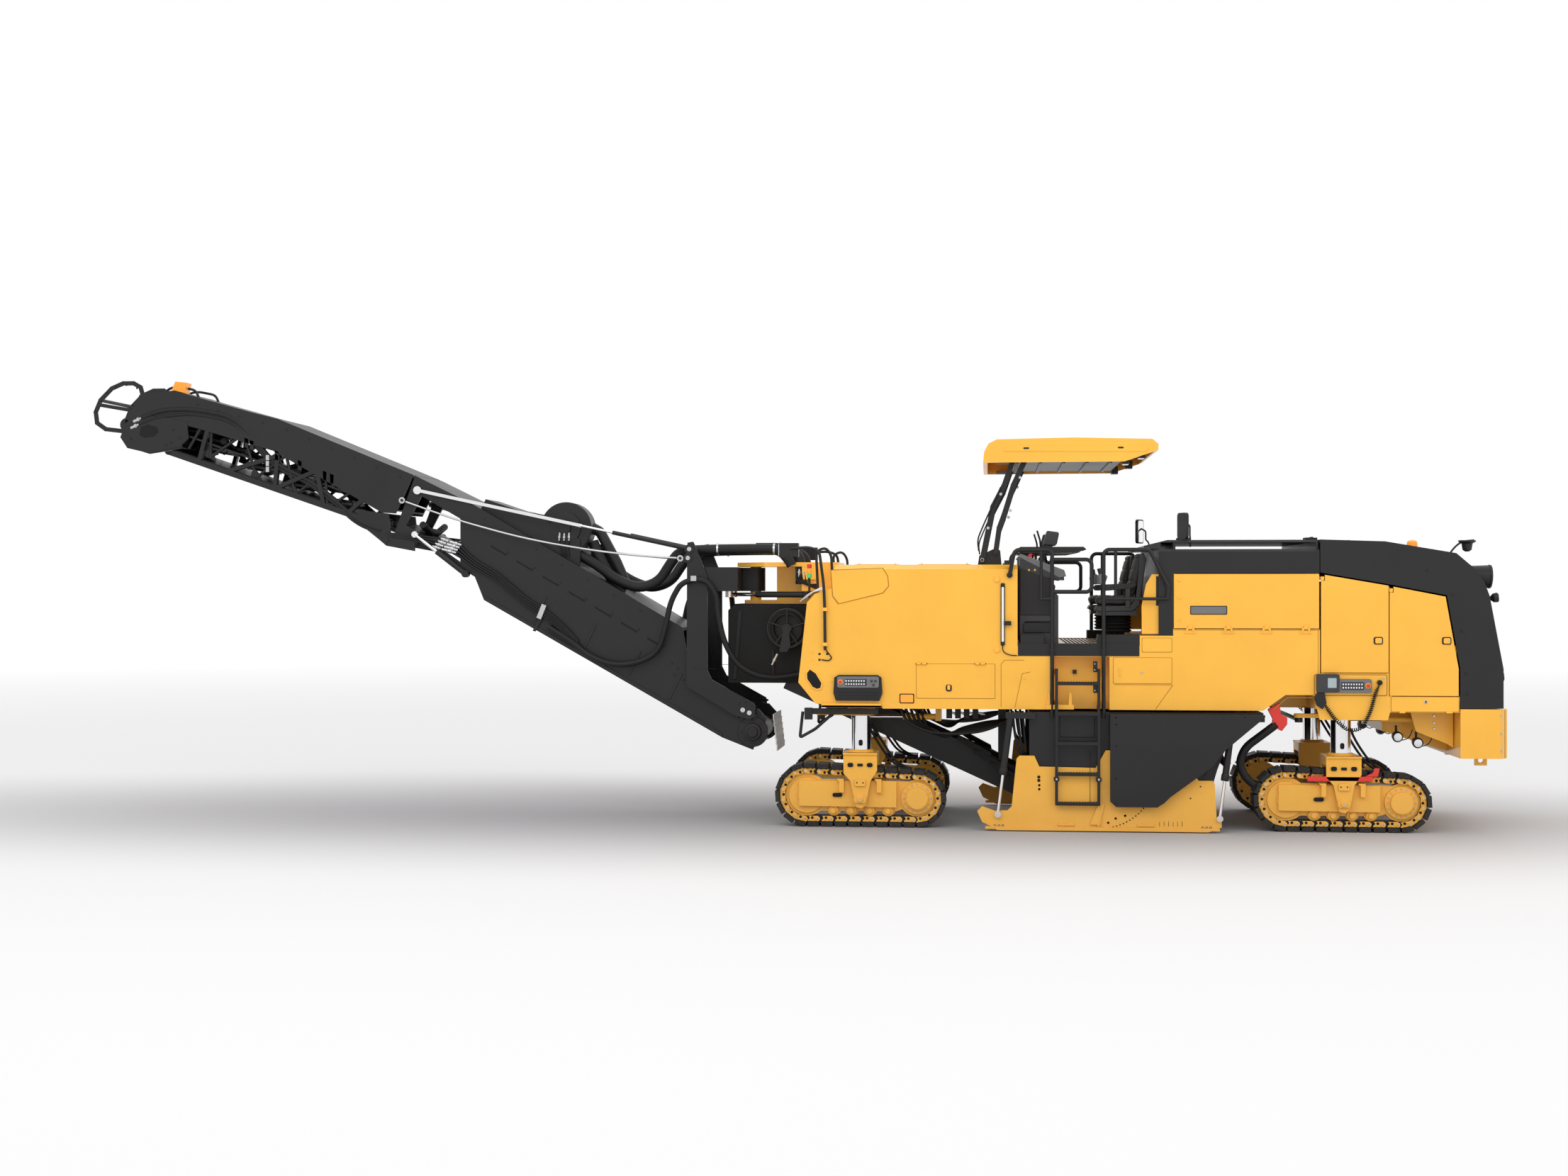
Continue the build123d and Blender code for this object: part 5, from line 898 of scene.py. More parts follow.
    # red service clamp with its thick hose carrier, and the hook over the rear track
    kit("red", part="clamp").prism([(5.15, 1.25), (5.27, 1.32), (5.28, 1.2), (5.345, 1.17),
        (5.345, 1.1), (5.29, 1.03), (5.19, 1.08), (5.2, 1.15)], y - 0.1, y - 0.05)
    hose("chassis", [(5.24, y - 0.075, 1.1), (5.1, y - 0.09, 0.99), (4.93, y - 0.1, 0.86),
        (4.87, y - 0.11, 0.7), (4.93, y - 0.12, 0.56), (5.02, y - 0.14, 0.48)], 0.042, bend=0.2)
    bar = kit("red", f"leg_rear_{hand}", "hook")
    bar.box((5.55, 1.128, 0.522), (6.2, 1.15, 0.572))
    bar.prism([(6.12, 0.572), (6.25, 0.572), (6.27, 0.655), (6.22, 0.66), (6.2, 0.61)], 1.128, 1.15)

# hood: louvres on the tail, slots and vents on the top, beacon
for row in range(9):
    z = 1.55 + 0.1 * row
    kit("black", "hood", "louvre").box((7.405, -0.86, z), (7.425, 0.86, z + 0.045))
for x in (5.93, 5.985):
    kit("seam", "hood").box((x, -0.85, 2.962), (x + 0.035, 0.85, 2.9715))
for i in range(15):
    kit("black", "hood", "vent").box((6.1 + 0.055 * i, -0.62, 2.93 - 0.006 * i),
        (6.13 + 0.055 * i, 0.62, 2.945 - 0.006 * i))
kit("black", "hood", "lamp").rod((6.675, -0.7, 2.78), (6.675, -0.7, 2.885), 0.05, 24)
kit("orange", "hood", "lamp").lathe((6.675, -0.7, 2.88), (6.675, -0.7, 2.975), [(0, 0.055),
    (0.1, 0.058), (0.8, 0.052), (0.95, 0.035), (1, 0.012)], 28)

# --------------------------------------------------------- discharge conveyor
COVER_LOW = ((-0.93, 2.057), (-3.20, 3.375))    # covers over the belt
COVER_TIP = ((-3.88, 3.708), (-5.4, 4.33), (-5.7, 4.405), (-6.4, 4.6))
TIP_FACE, LOWER_FACE = 0.55, 0.549    # outside of the two sections' side plates
for out, hand in both_sides():
    y = TIP_FACE
    tip = kit("black", "conveyor_tip", "frame")
    # motor end: bolted plate, oval hole, drive motor and bright fittings
    tip.prism([(-7.18, 4.14), (-7.1, 4.02), (-6.86, 3.965), (-6.5, 4.03), (-6.4, 4.12),
        (-6.42, 4.3), (-6.7, 4.36), (-6.98, 4.38), (-7.12, 4.3)], y - 0.01, y + 0.006)
    kit("seam", "conveyor_tip").prism([(-6.96, 4.16), (-6.9, 4.13), (-6.8, 4.14), (-6.74, 4.19),
        (-6.76, 4.25), (-6.86, 4.28), (-6.95, 4.25)], y, y + 0.0075)
    bolts("black", "conveyor_tip", [(-6.6, 4.08), (-6.58, 4.22), (-6.66, 4.05), (-6.5, 4.13),
        (-7.06, 4.12)], 0.556, 0.012)
    tip.lathe((-7.12, y - 0.06, 4.28), (-7.12, y, 4.28),
        [(0, 0.075), (0.6, 0.075), (0.65, 0.06), (1, 0.055)], 24)
    for k, (x, z) in enumerate(((-7.03, 4.31), (-7.06, 4.24))):
        coupling("conveyor_tip", (x, y - 0.008, z), (x + 0.1, y - 0.008, z + 0.045), 0.02)
        hose("conveyor_tip", [(x + 0.09, y - 0.008, z + 0.04), (x + 0.32, y - 0.008, z + 0.125),
            (-6.35, y - 0.012, 4.445 - 0.05 * k), (-5.92, y - 0.012, 4.36 - 0.05 * k),
            (-5.7, y - 0.03, 4.14 - 0.05 * k), (-5.45, y - 0.035, 3.84 - 0.04 * k),
            (-5.05, y - 0.035, 3.66 - 0.04 * k), (-4.74, y - 0.03, 3.42 - 0.04 * k),
            (-4.5, y - 0.02, 3.2 - 0.03 * k), (-4.24, y - 0.02, 3.11 - 0.03 * k)],
            0.028 - 0.006 * k, bend=0.18)
    # truss: tubes between the chords, corner plates and a bright hose clamp
    low, high = ((-6.45, 4.03), (-4.45, 3.18)), ((-6.35, 4.36), (-4.35, 3.53))
    truss = kit("black", "conveyor_tip", "truss")
    posts = ((0.02, 0.06), (0.14, 0.1), (0.14, 0.26), (0.4, 0.29), (0.4, 0.52), (0.62, 0.52),
        (0.62, 0.74), (0.8, 0.74), (0.8, 0.93))
    for one, two in posts:
        (x, z), (X, Z) = along(*low, one), along(*high, two)
        truss.tube([(x, y - 0.03, z), (X, y - 0.03, Z)], 0.017, 12)
    for share in (0.14, 0.4, 0.62, 0.8):
        x, z = along(*low, share)
        truss.prism([(x - 0.06, z + 0.015), (x + 0.06, z - 0.035), (x + 0.05, z + 0.02),
            (x, z + 0.085), (x - 0.04, z + 0.08)], y - 0.04, y - 0.022)
    x, z = along(*low, 0.43, 0.2)
    for k in range(3):
        kit("steel", "conveyor_tip").box((x - 0.018, y - 0.02, z - 0.1 + 0.065 * k),
            (x + 0.018, y + 0.002, z - 0.045 + 0.065 * k))
    # return rollers seen through the truss, brackets of the upper chord
    for share in (0.1, 0.34, 0.58, 0.82):
        x, z = along(*low, share, 0.09)
        truss.rod((x, y - 0.05, z), (x, 0.02, z), 0.045, 20)
    for share in (0.3, 0.33, 0.47, 0.6, 0.74, 0.78):
        x, z = along(*high, share)
        tip.prism([(x - 0.025, z + 0.02), (x + 0.025, z), (x + 0.02, z - 0.1),
            (x - 0.02, z - 0.09)], y - 0.02, y)
    # screws along the belt covers
    for line, body, count in ((COVER_LOW, "conveyor", 8), (COVER_TIP[:2], "conveyor_tip", 6),
            (COVER_TIP[1:3], "conveyor_tip", 1), (COVER_TIP[2:], "conveyor_tip", 3)):
        for i in range(count):
            x, z = along(line[0], line[1], (i + 0.5) / count, 0.075)
            bolts("black", body, [(x, z)], 0.5485 if body == "conveyor_tip" else 0.5495, 0.013)
    # lower conveyor: side plate laps, stiffeners, long slots, bolts
    bolts("black", "conveyor", [(-1.05, 1.68), (-0.98, 1.62), (-1.02, 1.55), (-0.92, 1.5)], 0.552,
        0.013)
    for share in (0.2, 0.42, 0.62, 0.8):
        x, z = along((-3.05, 2.4), (-0.6, 1.02), share)
        kit("black", "conveyor").prism([(x, z), (x + 0.026, z - 0.012), (x + 0.16, z + 0.26),
            (x + 0.134, z + 0.272)], LOWER_FACE, 0.5585)
    kit("black", "conveyor").prism([(-3.09, 2.352), (-0.5, 0.888), (-0.5, 0.93), (-3.09, 2.394)],
        LOWER_FACE, 0.562)
    for i in range(7):
        x, z = along((-1.05, 1.78), (-3.05, 2.94), (i + 0.3) / 7)
        X, Z = along((-1.05, 1.78), (-3.05, 2.94), (i + 0.92) / 7)
        kit("seam", "conveyor").prism([(x, z), (x, z + 0.022), (X, Z + 0.022), (X, Z)], LOWER_FACE,
            0.5515)
        bolts("black", "conveyor", [(x + 0.01, z + 0.04)], 0.551, 0.014)
    # bright clamp and the bundle of hoses that it holds
    kit("steel", "conveyor").prism([(-2.51, 2.16), (-2.46, 2.14), (-2.4, 2.29), (-2.45, 2.31)],
        0.575, 0.612)
    kit("black", "conveyor").prism([(-2.56, 2.02), (-2.53, 2.01), (-2.45, 2.15), (-2.48, 2.16)],
        LOWER_FACE, 0.575)
    for k in range(4):
        lift = 0.028 * k
        hose("conveyor", [(-3.42 + 0.02 * k, 0.57, 2.86 + lift), (-3.2, 0.585, 2.7 + lift),
            (-2.95, 0.59, 2.56 + lift), (-2.62, 0.59, 2.28 + lift), (-2.4, 0.588, 2.15 + lift),
            (-2.22, 0.585, 2.0 + lift), (-2.06, 0.58, 1.86 + 0.6 * lift)], 0.012, bend=0.1)
        coupling("conveyor", (-3.56 + 0.03 * k, 0.575, 2.9 + lift),
            (-3.4 + 0.02 * k, 0.575, 2.86 + lift), 0.017)
        coupling("conveyor", (-3.57 + 0.03 * k, 0.575, 2.903 + lift),
            (-3.66 + 0.03 * k, 0.575, 2.935 + lift), 0.015)
        hose("conveyor", [(-3.65 + 0.03 * k, 0.575, 2.93 + lift), (-3.8, 0.575, 2.985 + 0.7 * lift),
            (-3.98, 0.572, 3.02 + 0.5 * lift), (-4.16, 0.565, 3.04 + 0.4 * lift)], 0.012, bend=0.08)
    # the sagging stay rod hangs between a fork of the conveyor and one of the swing post
    stay = Kit(f"stay_{hand}", "conveyor", "bare_steel", "steel")
    stay.tube([(-3.95, 0.6, 3.415), (-3.4, 0.615, 3.22), (-2.6, 0.637, 3.0), (-1.75, 0.644, 2.862),
        (-1.25, 0.646, 2.815), (-0.98, 0.646, 2.8)], 0.011, 12, 0.5)
    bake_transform(stay.done(ride=False))
    for x, z, body, y in ((-3.99, 3.43, "conveyor", 0.59), (-0.94, 2.797, "swing", 0.632)):
        kit("steel", body, "stay").disc(x, y, z, 0.034, 0.026, 22)
        kit("black", body).disc(x, y - 0.004, z, 0.016, 0.038, 14)
    # big slack ducts between the blower and the hopper
    hose("conveyor", [(-1.95, 0.3, 2.98), (-1.86, 0.33, 2.78), (-1.74, 0.34, 2.58),
        (-1.6, 0.34, 2.44)], 0.06, bend=0.2, sides=20)
    slack = Kit(f"slack_duct_{hand}", "conveyor", "black_rubber", "hose")
    slack.tube([(-2.12, 0.38, 2.86), (-1.9, 0.4, 2.74), (-1.66, 0.41, 2.56), (-1.42, 0.41, 2.475),
        (-1.2, 0.42, 2.55), (-1.08, 0.44, 2.74), (-0.98, 0.46, 2.87), (-0.82, 0.46, 2.885)], 0.056,
        20, 0.2)
    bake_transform(slack.done(ride=False))
    # tail of the belt: bearing housing and its bolts
    low_end = kit("black", "conveyor", "tail")
    low_end.lathe((-0.17, 0.55, 0.945), (-0.17, 0.63, 0.945), [(0, 0.165), (0.25, 0.16),
        (0.3, 0.095), (0.75, 0.09), (0.8, 0.06), (1, 0.055)], 32)
    for i in range(8):
        turn = 2 * pi * i / 8
        bolts("black", "conveyor", [(-0.17 + 0.13 * cos(turn), 0.945 + 0.13 * sin(turn))], 0.568,
            0.013)
    for x, z in ((-0.36, 1.2), (-0.34, 1.1)):
        low_end.disc(x, 0.55, z, 0.02, 0.02, 16)

# pale wiper at the tail of the belt
flap = kit("white", "conveyor", "wiper")
for k in range(6):
    flap.box((0.028 + 0.008 * k, -0.4, 1.12 - 0.065 * (k + 1)),
        (0.04 + 0.008 * k, 0.4, 1.125 - 0.065 * k))
# head box, beacon and grab handles over the tip
kit("black", "conveyor_tip", "head").prism([(-6.9, 4.52), (-6.84, 4.62), (-6.62, 4.64),
    (-6.38, 4.585), (-6.38, 4.44), (-6.88, 4.44)], -0.4, 0.4)
for y in (-0.3, 0.3):
    kit("black", "conveyor_tip", "head").tube([(-6.86, y, 4.56), (-6.72, y, 4.7), (-6.62, y, 4.715),
        (-6.42, y, 4.675), (-6.38, y, 4.58)], 0.014, 12, 0.05)
kit("black", "conveyor_tip", "head").rod((-6.56, -0.3, 4.45), (-6.6, -0.3, 4.66), 0.018, 16)
kit("orange", "conveyor_tip", "beacon").prism([(-6.68, 4.645), (-6.52, 4.625), (-6.49, 4.752),
    (-6.63, 4.768)], -0.37, -0.23)
# idler rollers under the covers
for line, body in ((((-0.86, 1.5), (-3.8, 3.1)), "conveyor"),
        (((-4.35, 3.36), (-6.6, 4.25)), "conveyor_tip")):
    for i in range(9):
        x, z = along(*line, i / 8)
        for start, end, rise in ((-0.46, -0.18, 0.07), (-0.16, 0.16, 0.0), (0.18, 0.46, 0.07)):
            high_z, low_z = (z + rise, z) if start < -0.2 else (z, z + rise)
            kit("black_rough", body, "idler").rod((x, start, high_z), (x, end, low_z), 0.038, 14)
# end roller of the tip
kit("rubber", "conveyor_tip", "pulley").lathe((-7.02, -0.44, 4.2), (-7.02, 0.44, 4.2), [(0, 0.04),
    (0.01, 0.12), (0.03, 0.125), (0.97, 0.125), (0.99, 0.12), (1, 0.04)], 32)
# screw heads of the guard loops
for x, z in ((-7.45, 4.55), (-7.38, 4.64), (-7.28, 4.7), (-7.16, 4.725), (-7.04, 4.69),
        (-7.51, 4.43)):
    for _ in both_sides():
        kit("seam", "conveyor_tip", "slot").disc(x, 0.4315, z, 0.011, 0.0015, 10)

# ---------------------------------------------------------------- blower ducts
for x, z in ((-2.36, 3.28), (-2.25, 3.32), (-2.1, 3.27), (-2.03, 3.14), (-2.07, 3.0),
        (-2.36, 2.98)):
    bolts("black", "conveyor", [(x, z)], -0.44, 0.012)
kit("black", "conveyor", "fan").lathe((-2.22, -0.44, 3.13), (-2.22, -0.475, 3.13), [(0, 0.275),
    (0.3, 0.272), (0.34, 0.17), (0.9, 0.165), (1, 0.12)], 40)
for k in range(3):
    coupling("conveyor", (-2.28 + 0.05 * k, -0.478, 3.08), (-2.29 + 0.055 * k, -0.478, 2.99), 0.012)
    hose("conveyor", [(-2.29 + 0.055 * k, -0.478, 2.995), (-2.27 + 0.04 * k, -0.482, 2.9),
        (-2.24 + 0.03 * k, -0.485, 2.82)], 0.009)

# ---------------------------------------------------------------- swing frame
POST_FACE = 0.63
for _ in both_sides():
    y = POST_FACE
    swing = kit("black", "swing", "frame")
    # clevis plates, pins and bolts of the tall posts
    for x, z in ((-0.845, 2.895), (-0.86, 2.8)):
        swing.disc(x, y - 0.002, z, 0.052, 0.01, 26)
        kit("steel", "swing").disc(x, y + 0.006, z, 0.024, 0.01, 20)
    for x, z in ((-0.27, 1.18), (-0.2, 1.15)):
        kit("steel", "swing").disc(x, y, z, 0.026, 0.008, 22)
    bolts("black", "swing", [(-0.31, 1.25), (-0.24, 1.27), (-0.14, 1.22), (-0.13, 1.12)], POST_FACE,
        0.014)
    # seams where the post is welded to its foot
    kit("seam", "swing").prism([(-0.8, 1.62), (-0.56, 1.62), (-0.56, 1.616), (-0.8, 1.616)],
        y - 0.002, y + 0.001)

# ducts over the swing pivot, with bright clamps
for out, hand in both_sides():
    over = Kit(f"over_duct_{hand}", "swing", "black_rubber", "hose")
    over.tube([(-0.84, 0.46, 2.885), (-0.6, 0.46, 2.895), (-0.2, 0.44, 2.9), (0.02, 0.46, 2.9),
        (0.13, 0.47, 2.87), (0.22, 0.48, 2.76), (0.24, 0.48, 2.72)], 0.054, 22, 0.1)
    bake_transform(over.done(ride=False))
    fixed = kit("hose", part="duct")
    fixed.tube([(-0.16, 0.33, 2.91), (0.12, 0.33, 2.91), (0.3, 0.36, 2.84), (0.33, 0.38, 2.7),
        (0.33, 0.38, 2.52)], 0.058, 20, 0.16)
    for x, body, y in ((-0.56, "swing", 0.46), (0.05, "chassis", 0.462)):
        kit("steel", body, "band").rod((x - 0.01, y, 2.8955), (x + 0.01, y, 2.8955), 0.063, 28)
    kit("steel", part="band").rod((0.09, 0.33, 2.91), (0.11, 0.33, 2.91), 0.066, 28)
    # hoses of the swing cylinders and valve block on the cheek plates
    for k in range(5):
        hose("chassis", [(0.3 + 0.03 * k, 0.575, 2.7), (0.3 + 0.03 * k, 0.59, 2.64),
            (0.3 + 0.035 * k, 0.595, 2.56 - 0.012 * k), (0.42 + 0.02 * k, 0.59, 2.51 - 0.008 * k),
            (0.53, 0.56, 2.52 - 0.01 * k)], 0.01, bend=0.06)
    for k in range(3):
        coupling("chassis", (0.33 + 0.05 * k, 0.585, 2.6), (0.33 + 0.05 * k, 0.585, 2.68), 0.016)
    kit("yellow", part="valve").box((0.36, 0.565, 2.57), (0.52, 0.6, 2.7))

# one thick hose loop on each side: conveyor, over the post, and down to the hopper
for out, hand in both_sides():
    first = Kit(f"loop_hose_low_{hand}", "conveyor", "black_rubber", "hose")
    first.tube([(-2.38, 0.595, 2.06), (-2.12, 0.6, 1.9), (-1.95, 0.61, 1.76), (-1.7, 0.62, 1.655),
        (-1.42, 0.63, 1.67), (-1.18, 0.64, 1.79), (-1.1, 0.655, 2.05), (-1.04, 0.665, 2.34),
        (-0.93, 0.67, 2.53), (-0.78, 0.67, 2.575)], 0.03, 16, 0.14)
    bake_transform(first.done(ride=False))
    second = Kit(f"loop_hose_high_{hand}", "swing", "black_rubber", "hose")
    second.tube([(-0.79, 0.67, 2.5755), (-0.66, 0.67, 2.56), (-0.55, 0.66, 2.42),
        (-0.53, 0.65, 2.18), (-0.47, 0.645, 1.9), (-0.33, 0.63, 1.66), (-0.12, 0.6, 1.54),
        (0.1, 0.55, 1.52), (0.33, 0.5, 1.56)], 0.03, 16, 0.14)
    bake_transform(second.done(ride=False))
    kit("steel", "swing", "band").box((-0.82, 0.628, 2.555), (-0.76, 0.705, 2.61))

# washing hose reel beside the hopper
reel = kit("black", part="reel")
for _ in both_sides():
    y = 0.5
    reel.rod((0.2, y, 2.05), (0.2, y + 0.012, 2.05), 0.215, 40)
    rim = [(0.2 + 0.205 * cos(2 * pi * i / 48), y + 0.11, 2.05 + 0.205 * sin(2 * pi * i / 48))
        for i in range(48)]
    reel.tube(rim, 0.012, 10, closed=True)
    for i in range(5):
        turn = 2 * pi * i / 5 + 0.3
        reel.tube([(0.2, y + 0.11, 2.05),
            (0.2 + 0.2 * cos(turn), y + 0.11, 2.05 + 0.2 * sin(turn))], 0.01, 10)
    reel.rod((0.2, 0.43, 2.05), (0.2, y + 0.125, 2.05), 0.05, 24)
    for k in range(5):
        ring = [(0.2 + (0.155 + 0.012 * (k % 2)) * cos(2 * pi * i / 36), y + (0.022 + 0.018 * k),
            2.05 + (0.155 + 0.012 * (k % 2)) * sin(2 * pi * i / 36)) for i in range(36)]
        kit("hose", part="reel").tube(ring, 0.011, 8, closed=True)
    reel.prism([(0.12, 1.8), (0.2, 1.8), (0.24, 1.86), (0.22, 2.08), (0.17, 2.08)], y + 0.118,
        y + 0.13)
    coupling("chassis", (0.1, y + 0.12, 1.78), (0.04, y + 0.12, 1.66), 0.014)
    # ribs and bolts of the hopper's flank
    kit("black_rough", part="hopper").prism([(-0.4, 1.5), (-0.36, 1.5), (-0.3, 2.24),
        (-0.34, 2.24)], 0.438, 0.452)
    kit("black_rough", part="hopper").prism([(0.02, 1.5), (0.05, 1.5), (0.05, 1.82), (0.02, 1.82)],
        0.438, 0.452)
    bolts("black", "chassis", [(-0.38, 2.28), (-0.2, 2.28), (0.0, 2.28), (0.2, 2.28), (0.38, 2.28)],
        0.44, 0.012)

# -------------------------------------------------------------- platform, desk
DESK_END = 1.08
for out, _ in both_sides():
    y = DESK_END
    desk = kit("grey", part="desk")
    desk.prism([(2.64, 2.8), (2.66, 2.835), (3.11, 2.665), (3.13, 2.6), (3.06, 2.585)], y - 0.7,
        y + 0.004)
    for k in range(4):
        x = 2.74 + 0.075 * k
        kit("plastic", part="desk").rod((x, y - 0.15, 2.8 - 0.028 * k),
            (x + 0.02, y - 0.15, 2.88 - 0.028 * k), 0.01, 12, 0.015)
        kit("orange" if k == 1 else "white", part="desk").box((x, y - 0.3, 2.803 - 0.028 * k),
            (x + 0.03, y - 0.27, 2.82 - 0.028 * k))
    kit("red", part="desk").rod((2.76, y - 0.06, 2.8), (2.77, y - 0.06, 2.845), 0.022, 20)
    # cover over the desk and the display that stands on it
    kit("black", part="desk").prism([(2.62, 2.865), (2.66, 2.905), (3.31, 2.905), (3.34, 2.875),
        (3.2, 2.845), (2.7, 2.835)], y - 0.62, y - 0.03)
    kit("plastic", part="display").prism([(2.9, 2.93), (3.03, 2.92), (3.06, 3.06), (2.94, 3.075)],
        y - 0.5, y - 0.2)
    kit("screen", part="display").prism([(3.037, 2.935), (3.042, 2.935), (3.066, 3.05),
        (3.061, 3.05)], y - 0.47, y - 0.23)
    kit("black", part="display").tube([(2.88, y - 0.35, 2.88), (2.87, y - 0.35, 2.98),
        (2.84, y - 0.35, 3.08)], 0.01, 10)
    # cabinet: foot recess and side storage box
    kit("seam", part="desk").prism(rounded(2.7, 2.98, 2.06, 2.14, 0.02), y, y + 0.002)
    kit("black", part="desk").prism(rounded(2.69, 3.0, 2.02, 2.12, 0.02), y - 0.002, y + 0.014)
    kit("black", part="desk").prism([(2.66, 2.2), (2.98, 2.2), (3.02, 2.5), (2.96, 2.58),
        (2.66, 2.68)], y - 0.002, y + 0.01)
    for x in (2.74, 2.8, 2.86):
        kit("yellow", part="desk").box((x, y, 2.655), (x + 0.02, y + 0.012, 2.675))
    # clamps of the handrail
    for z in (2.12, 2.74):
        kit("black", part="rail").box((2.495, 1.25, z - 0.022), (2.565, 1.3, z + 0.022))
    # mirror on its bent arm
    arm_x, reach = (4.31, 0.005) if out < 0 else (4.02, 0.055)
    arm_y = 1.06
    kit("black", part="mirror").tube([(arm_x + 0.075 + reach, arm_y, 2.9),
        (arm_x + 0.075 + 0.5 * reach, arm_y, 3.0), (arm_x + 0.075, arm_y, 3.02),
        (arm_x + 0.075, arm_y, 3.12), (arm_x + 0.02, arm_y, 3.15)], 0.009, 12, 0.02)
    turned = Vector((0.42, 0.91 * out, 0)).normalized()
    facing = Vector((-turned.y * out, turned.x * out, 0)) * -1
    middle = Vector((arm_x, arm_y * out, 3.115))
    for shape, finish, low, high in ((rounded(-0.09, 0.09, -0.135, 0.135, 0.035), "black", -0.01,
            0.022), (rounded(-0.078, 0.078, -0.122, 0.122, 0.028), "mirror", 0.015, 0.0235)):
        ring = [middle + turned * -a + Vector((0, 0, b)) for a, b in shape]
        verts = [point + facing * depth for depth in (low, high) for point in ring]
        kit(finish, part="mirror").add(verts, across_faces(len(ring)))
    # bulkhead skin beside the seat
    kit("yellow_low", part="shield").prism([(3.887, 2.012), (3.885, 2.3), (3.93, 2.52),
        (3.99, 2.62), (4.185, 2.62), (4.185, 2.012)], 1.212, 1.218)
    kit("black", part="shield").prism([(4.03, 2.3), (4.06, 2.3), (4.07, 2.6), (4.03, 2.6)], 1.216,
        1.221)
# floor tread ribs
for i in range(18):
    kit("black_rough", part="tread").box((3.13 + 0.04 * i, -1.14, 1.909),
        (3.145 + 0.04 * i, 1.14, 1.9145))

# -------------------------------------------------------------------- canopy
CANOPY_EDGE, ARM_FACE = 1.15, 1.03
for _ in both_sides():
    y = CANOPY_EDGE
    kit("yellow", "canopy", "rim").prism([(2.5, 3.945), (3.95, 3.935), (3.97, 3.9), (3.93, 3.875),
        (2.49, 3.885)], y - 0.012, y + 0.006)
    for x in (2.72, 3.68):
        kit("black", "canopy", "slot").prism(rounded(x - 0.03, x + 0.03, 3.905, 3.925, 0.008), y,
            y + 0.0075)
    for x, z in ((3.74, 3.8), (3.9, 3.86)):
        kit("black", "canopy", "lamp").box((x - 0.035, y - 0.1, z - 0.045),
            (x + 0.035, y - 0.3, z + 0.04))
        kit("lens", "canopy", "lamp").box((x - 0.03, y - 0.13, z - 0.05),
            (x + 0.03, y - 0.27, z - 0.043))
    kit("grey", "canopy", "lamp").box((2.42, y - 0.1, 3.765), (2.55, y - 0.26, 3.8))
    for x, z in ((2.33, 3.1), (2.46, 3.45)):
        kit("steel", "canopy_front").disc(x, ARM_FACE, z, 0.016, 0.006, 16)
    kit("steel", "canopy_front").disc(2.27, 1.032, 2.77, 0.02, 0.006, 18)
    for x, z in ((2.41, 2.85), (2.56, 3.28), (2.66, 3.62)):
        kit("steel", "canopy_rear").disc(x, ARM_FACE, z, 0.016, 0.006, 16)
    # leads up the front arm
    for k in (0, 1):
        hose("canopy_front", [(2.235, 1.045 + 0.014 * k, 2.86), (2.22, 1.045 + 0.014 * k, 2.98),
            (2.3, 1.045 + 0.014 * k, 3.17), (2.37, 1.04 + 0.01 * k, 3.32),
            (2.46, 1.04 + 0.01 * k, 3.52)], 0.008, bend=0.08)
kit("black", "canopy", "under").box((2.55, -0.94, 3.79), (3.7, 0.94, 3.806))
for i in range(5):
    kit("black", "canopy", "under").box((2.62 + 0.24 * i, -0.9, 3.775), (2.65 + 0.24 * i, 0.9, 3.8))
kit("black", "canopy", "wing").prism([(3.97, 3.985), (4.055, 4.0), (4.06, 4.018), (3.97, 4.005)],
    -0.7, 0.7)

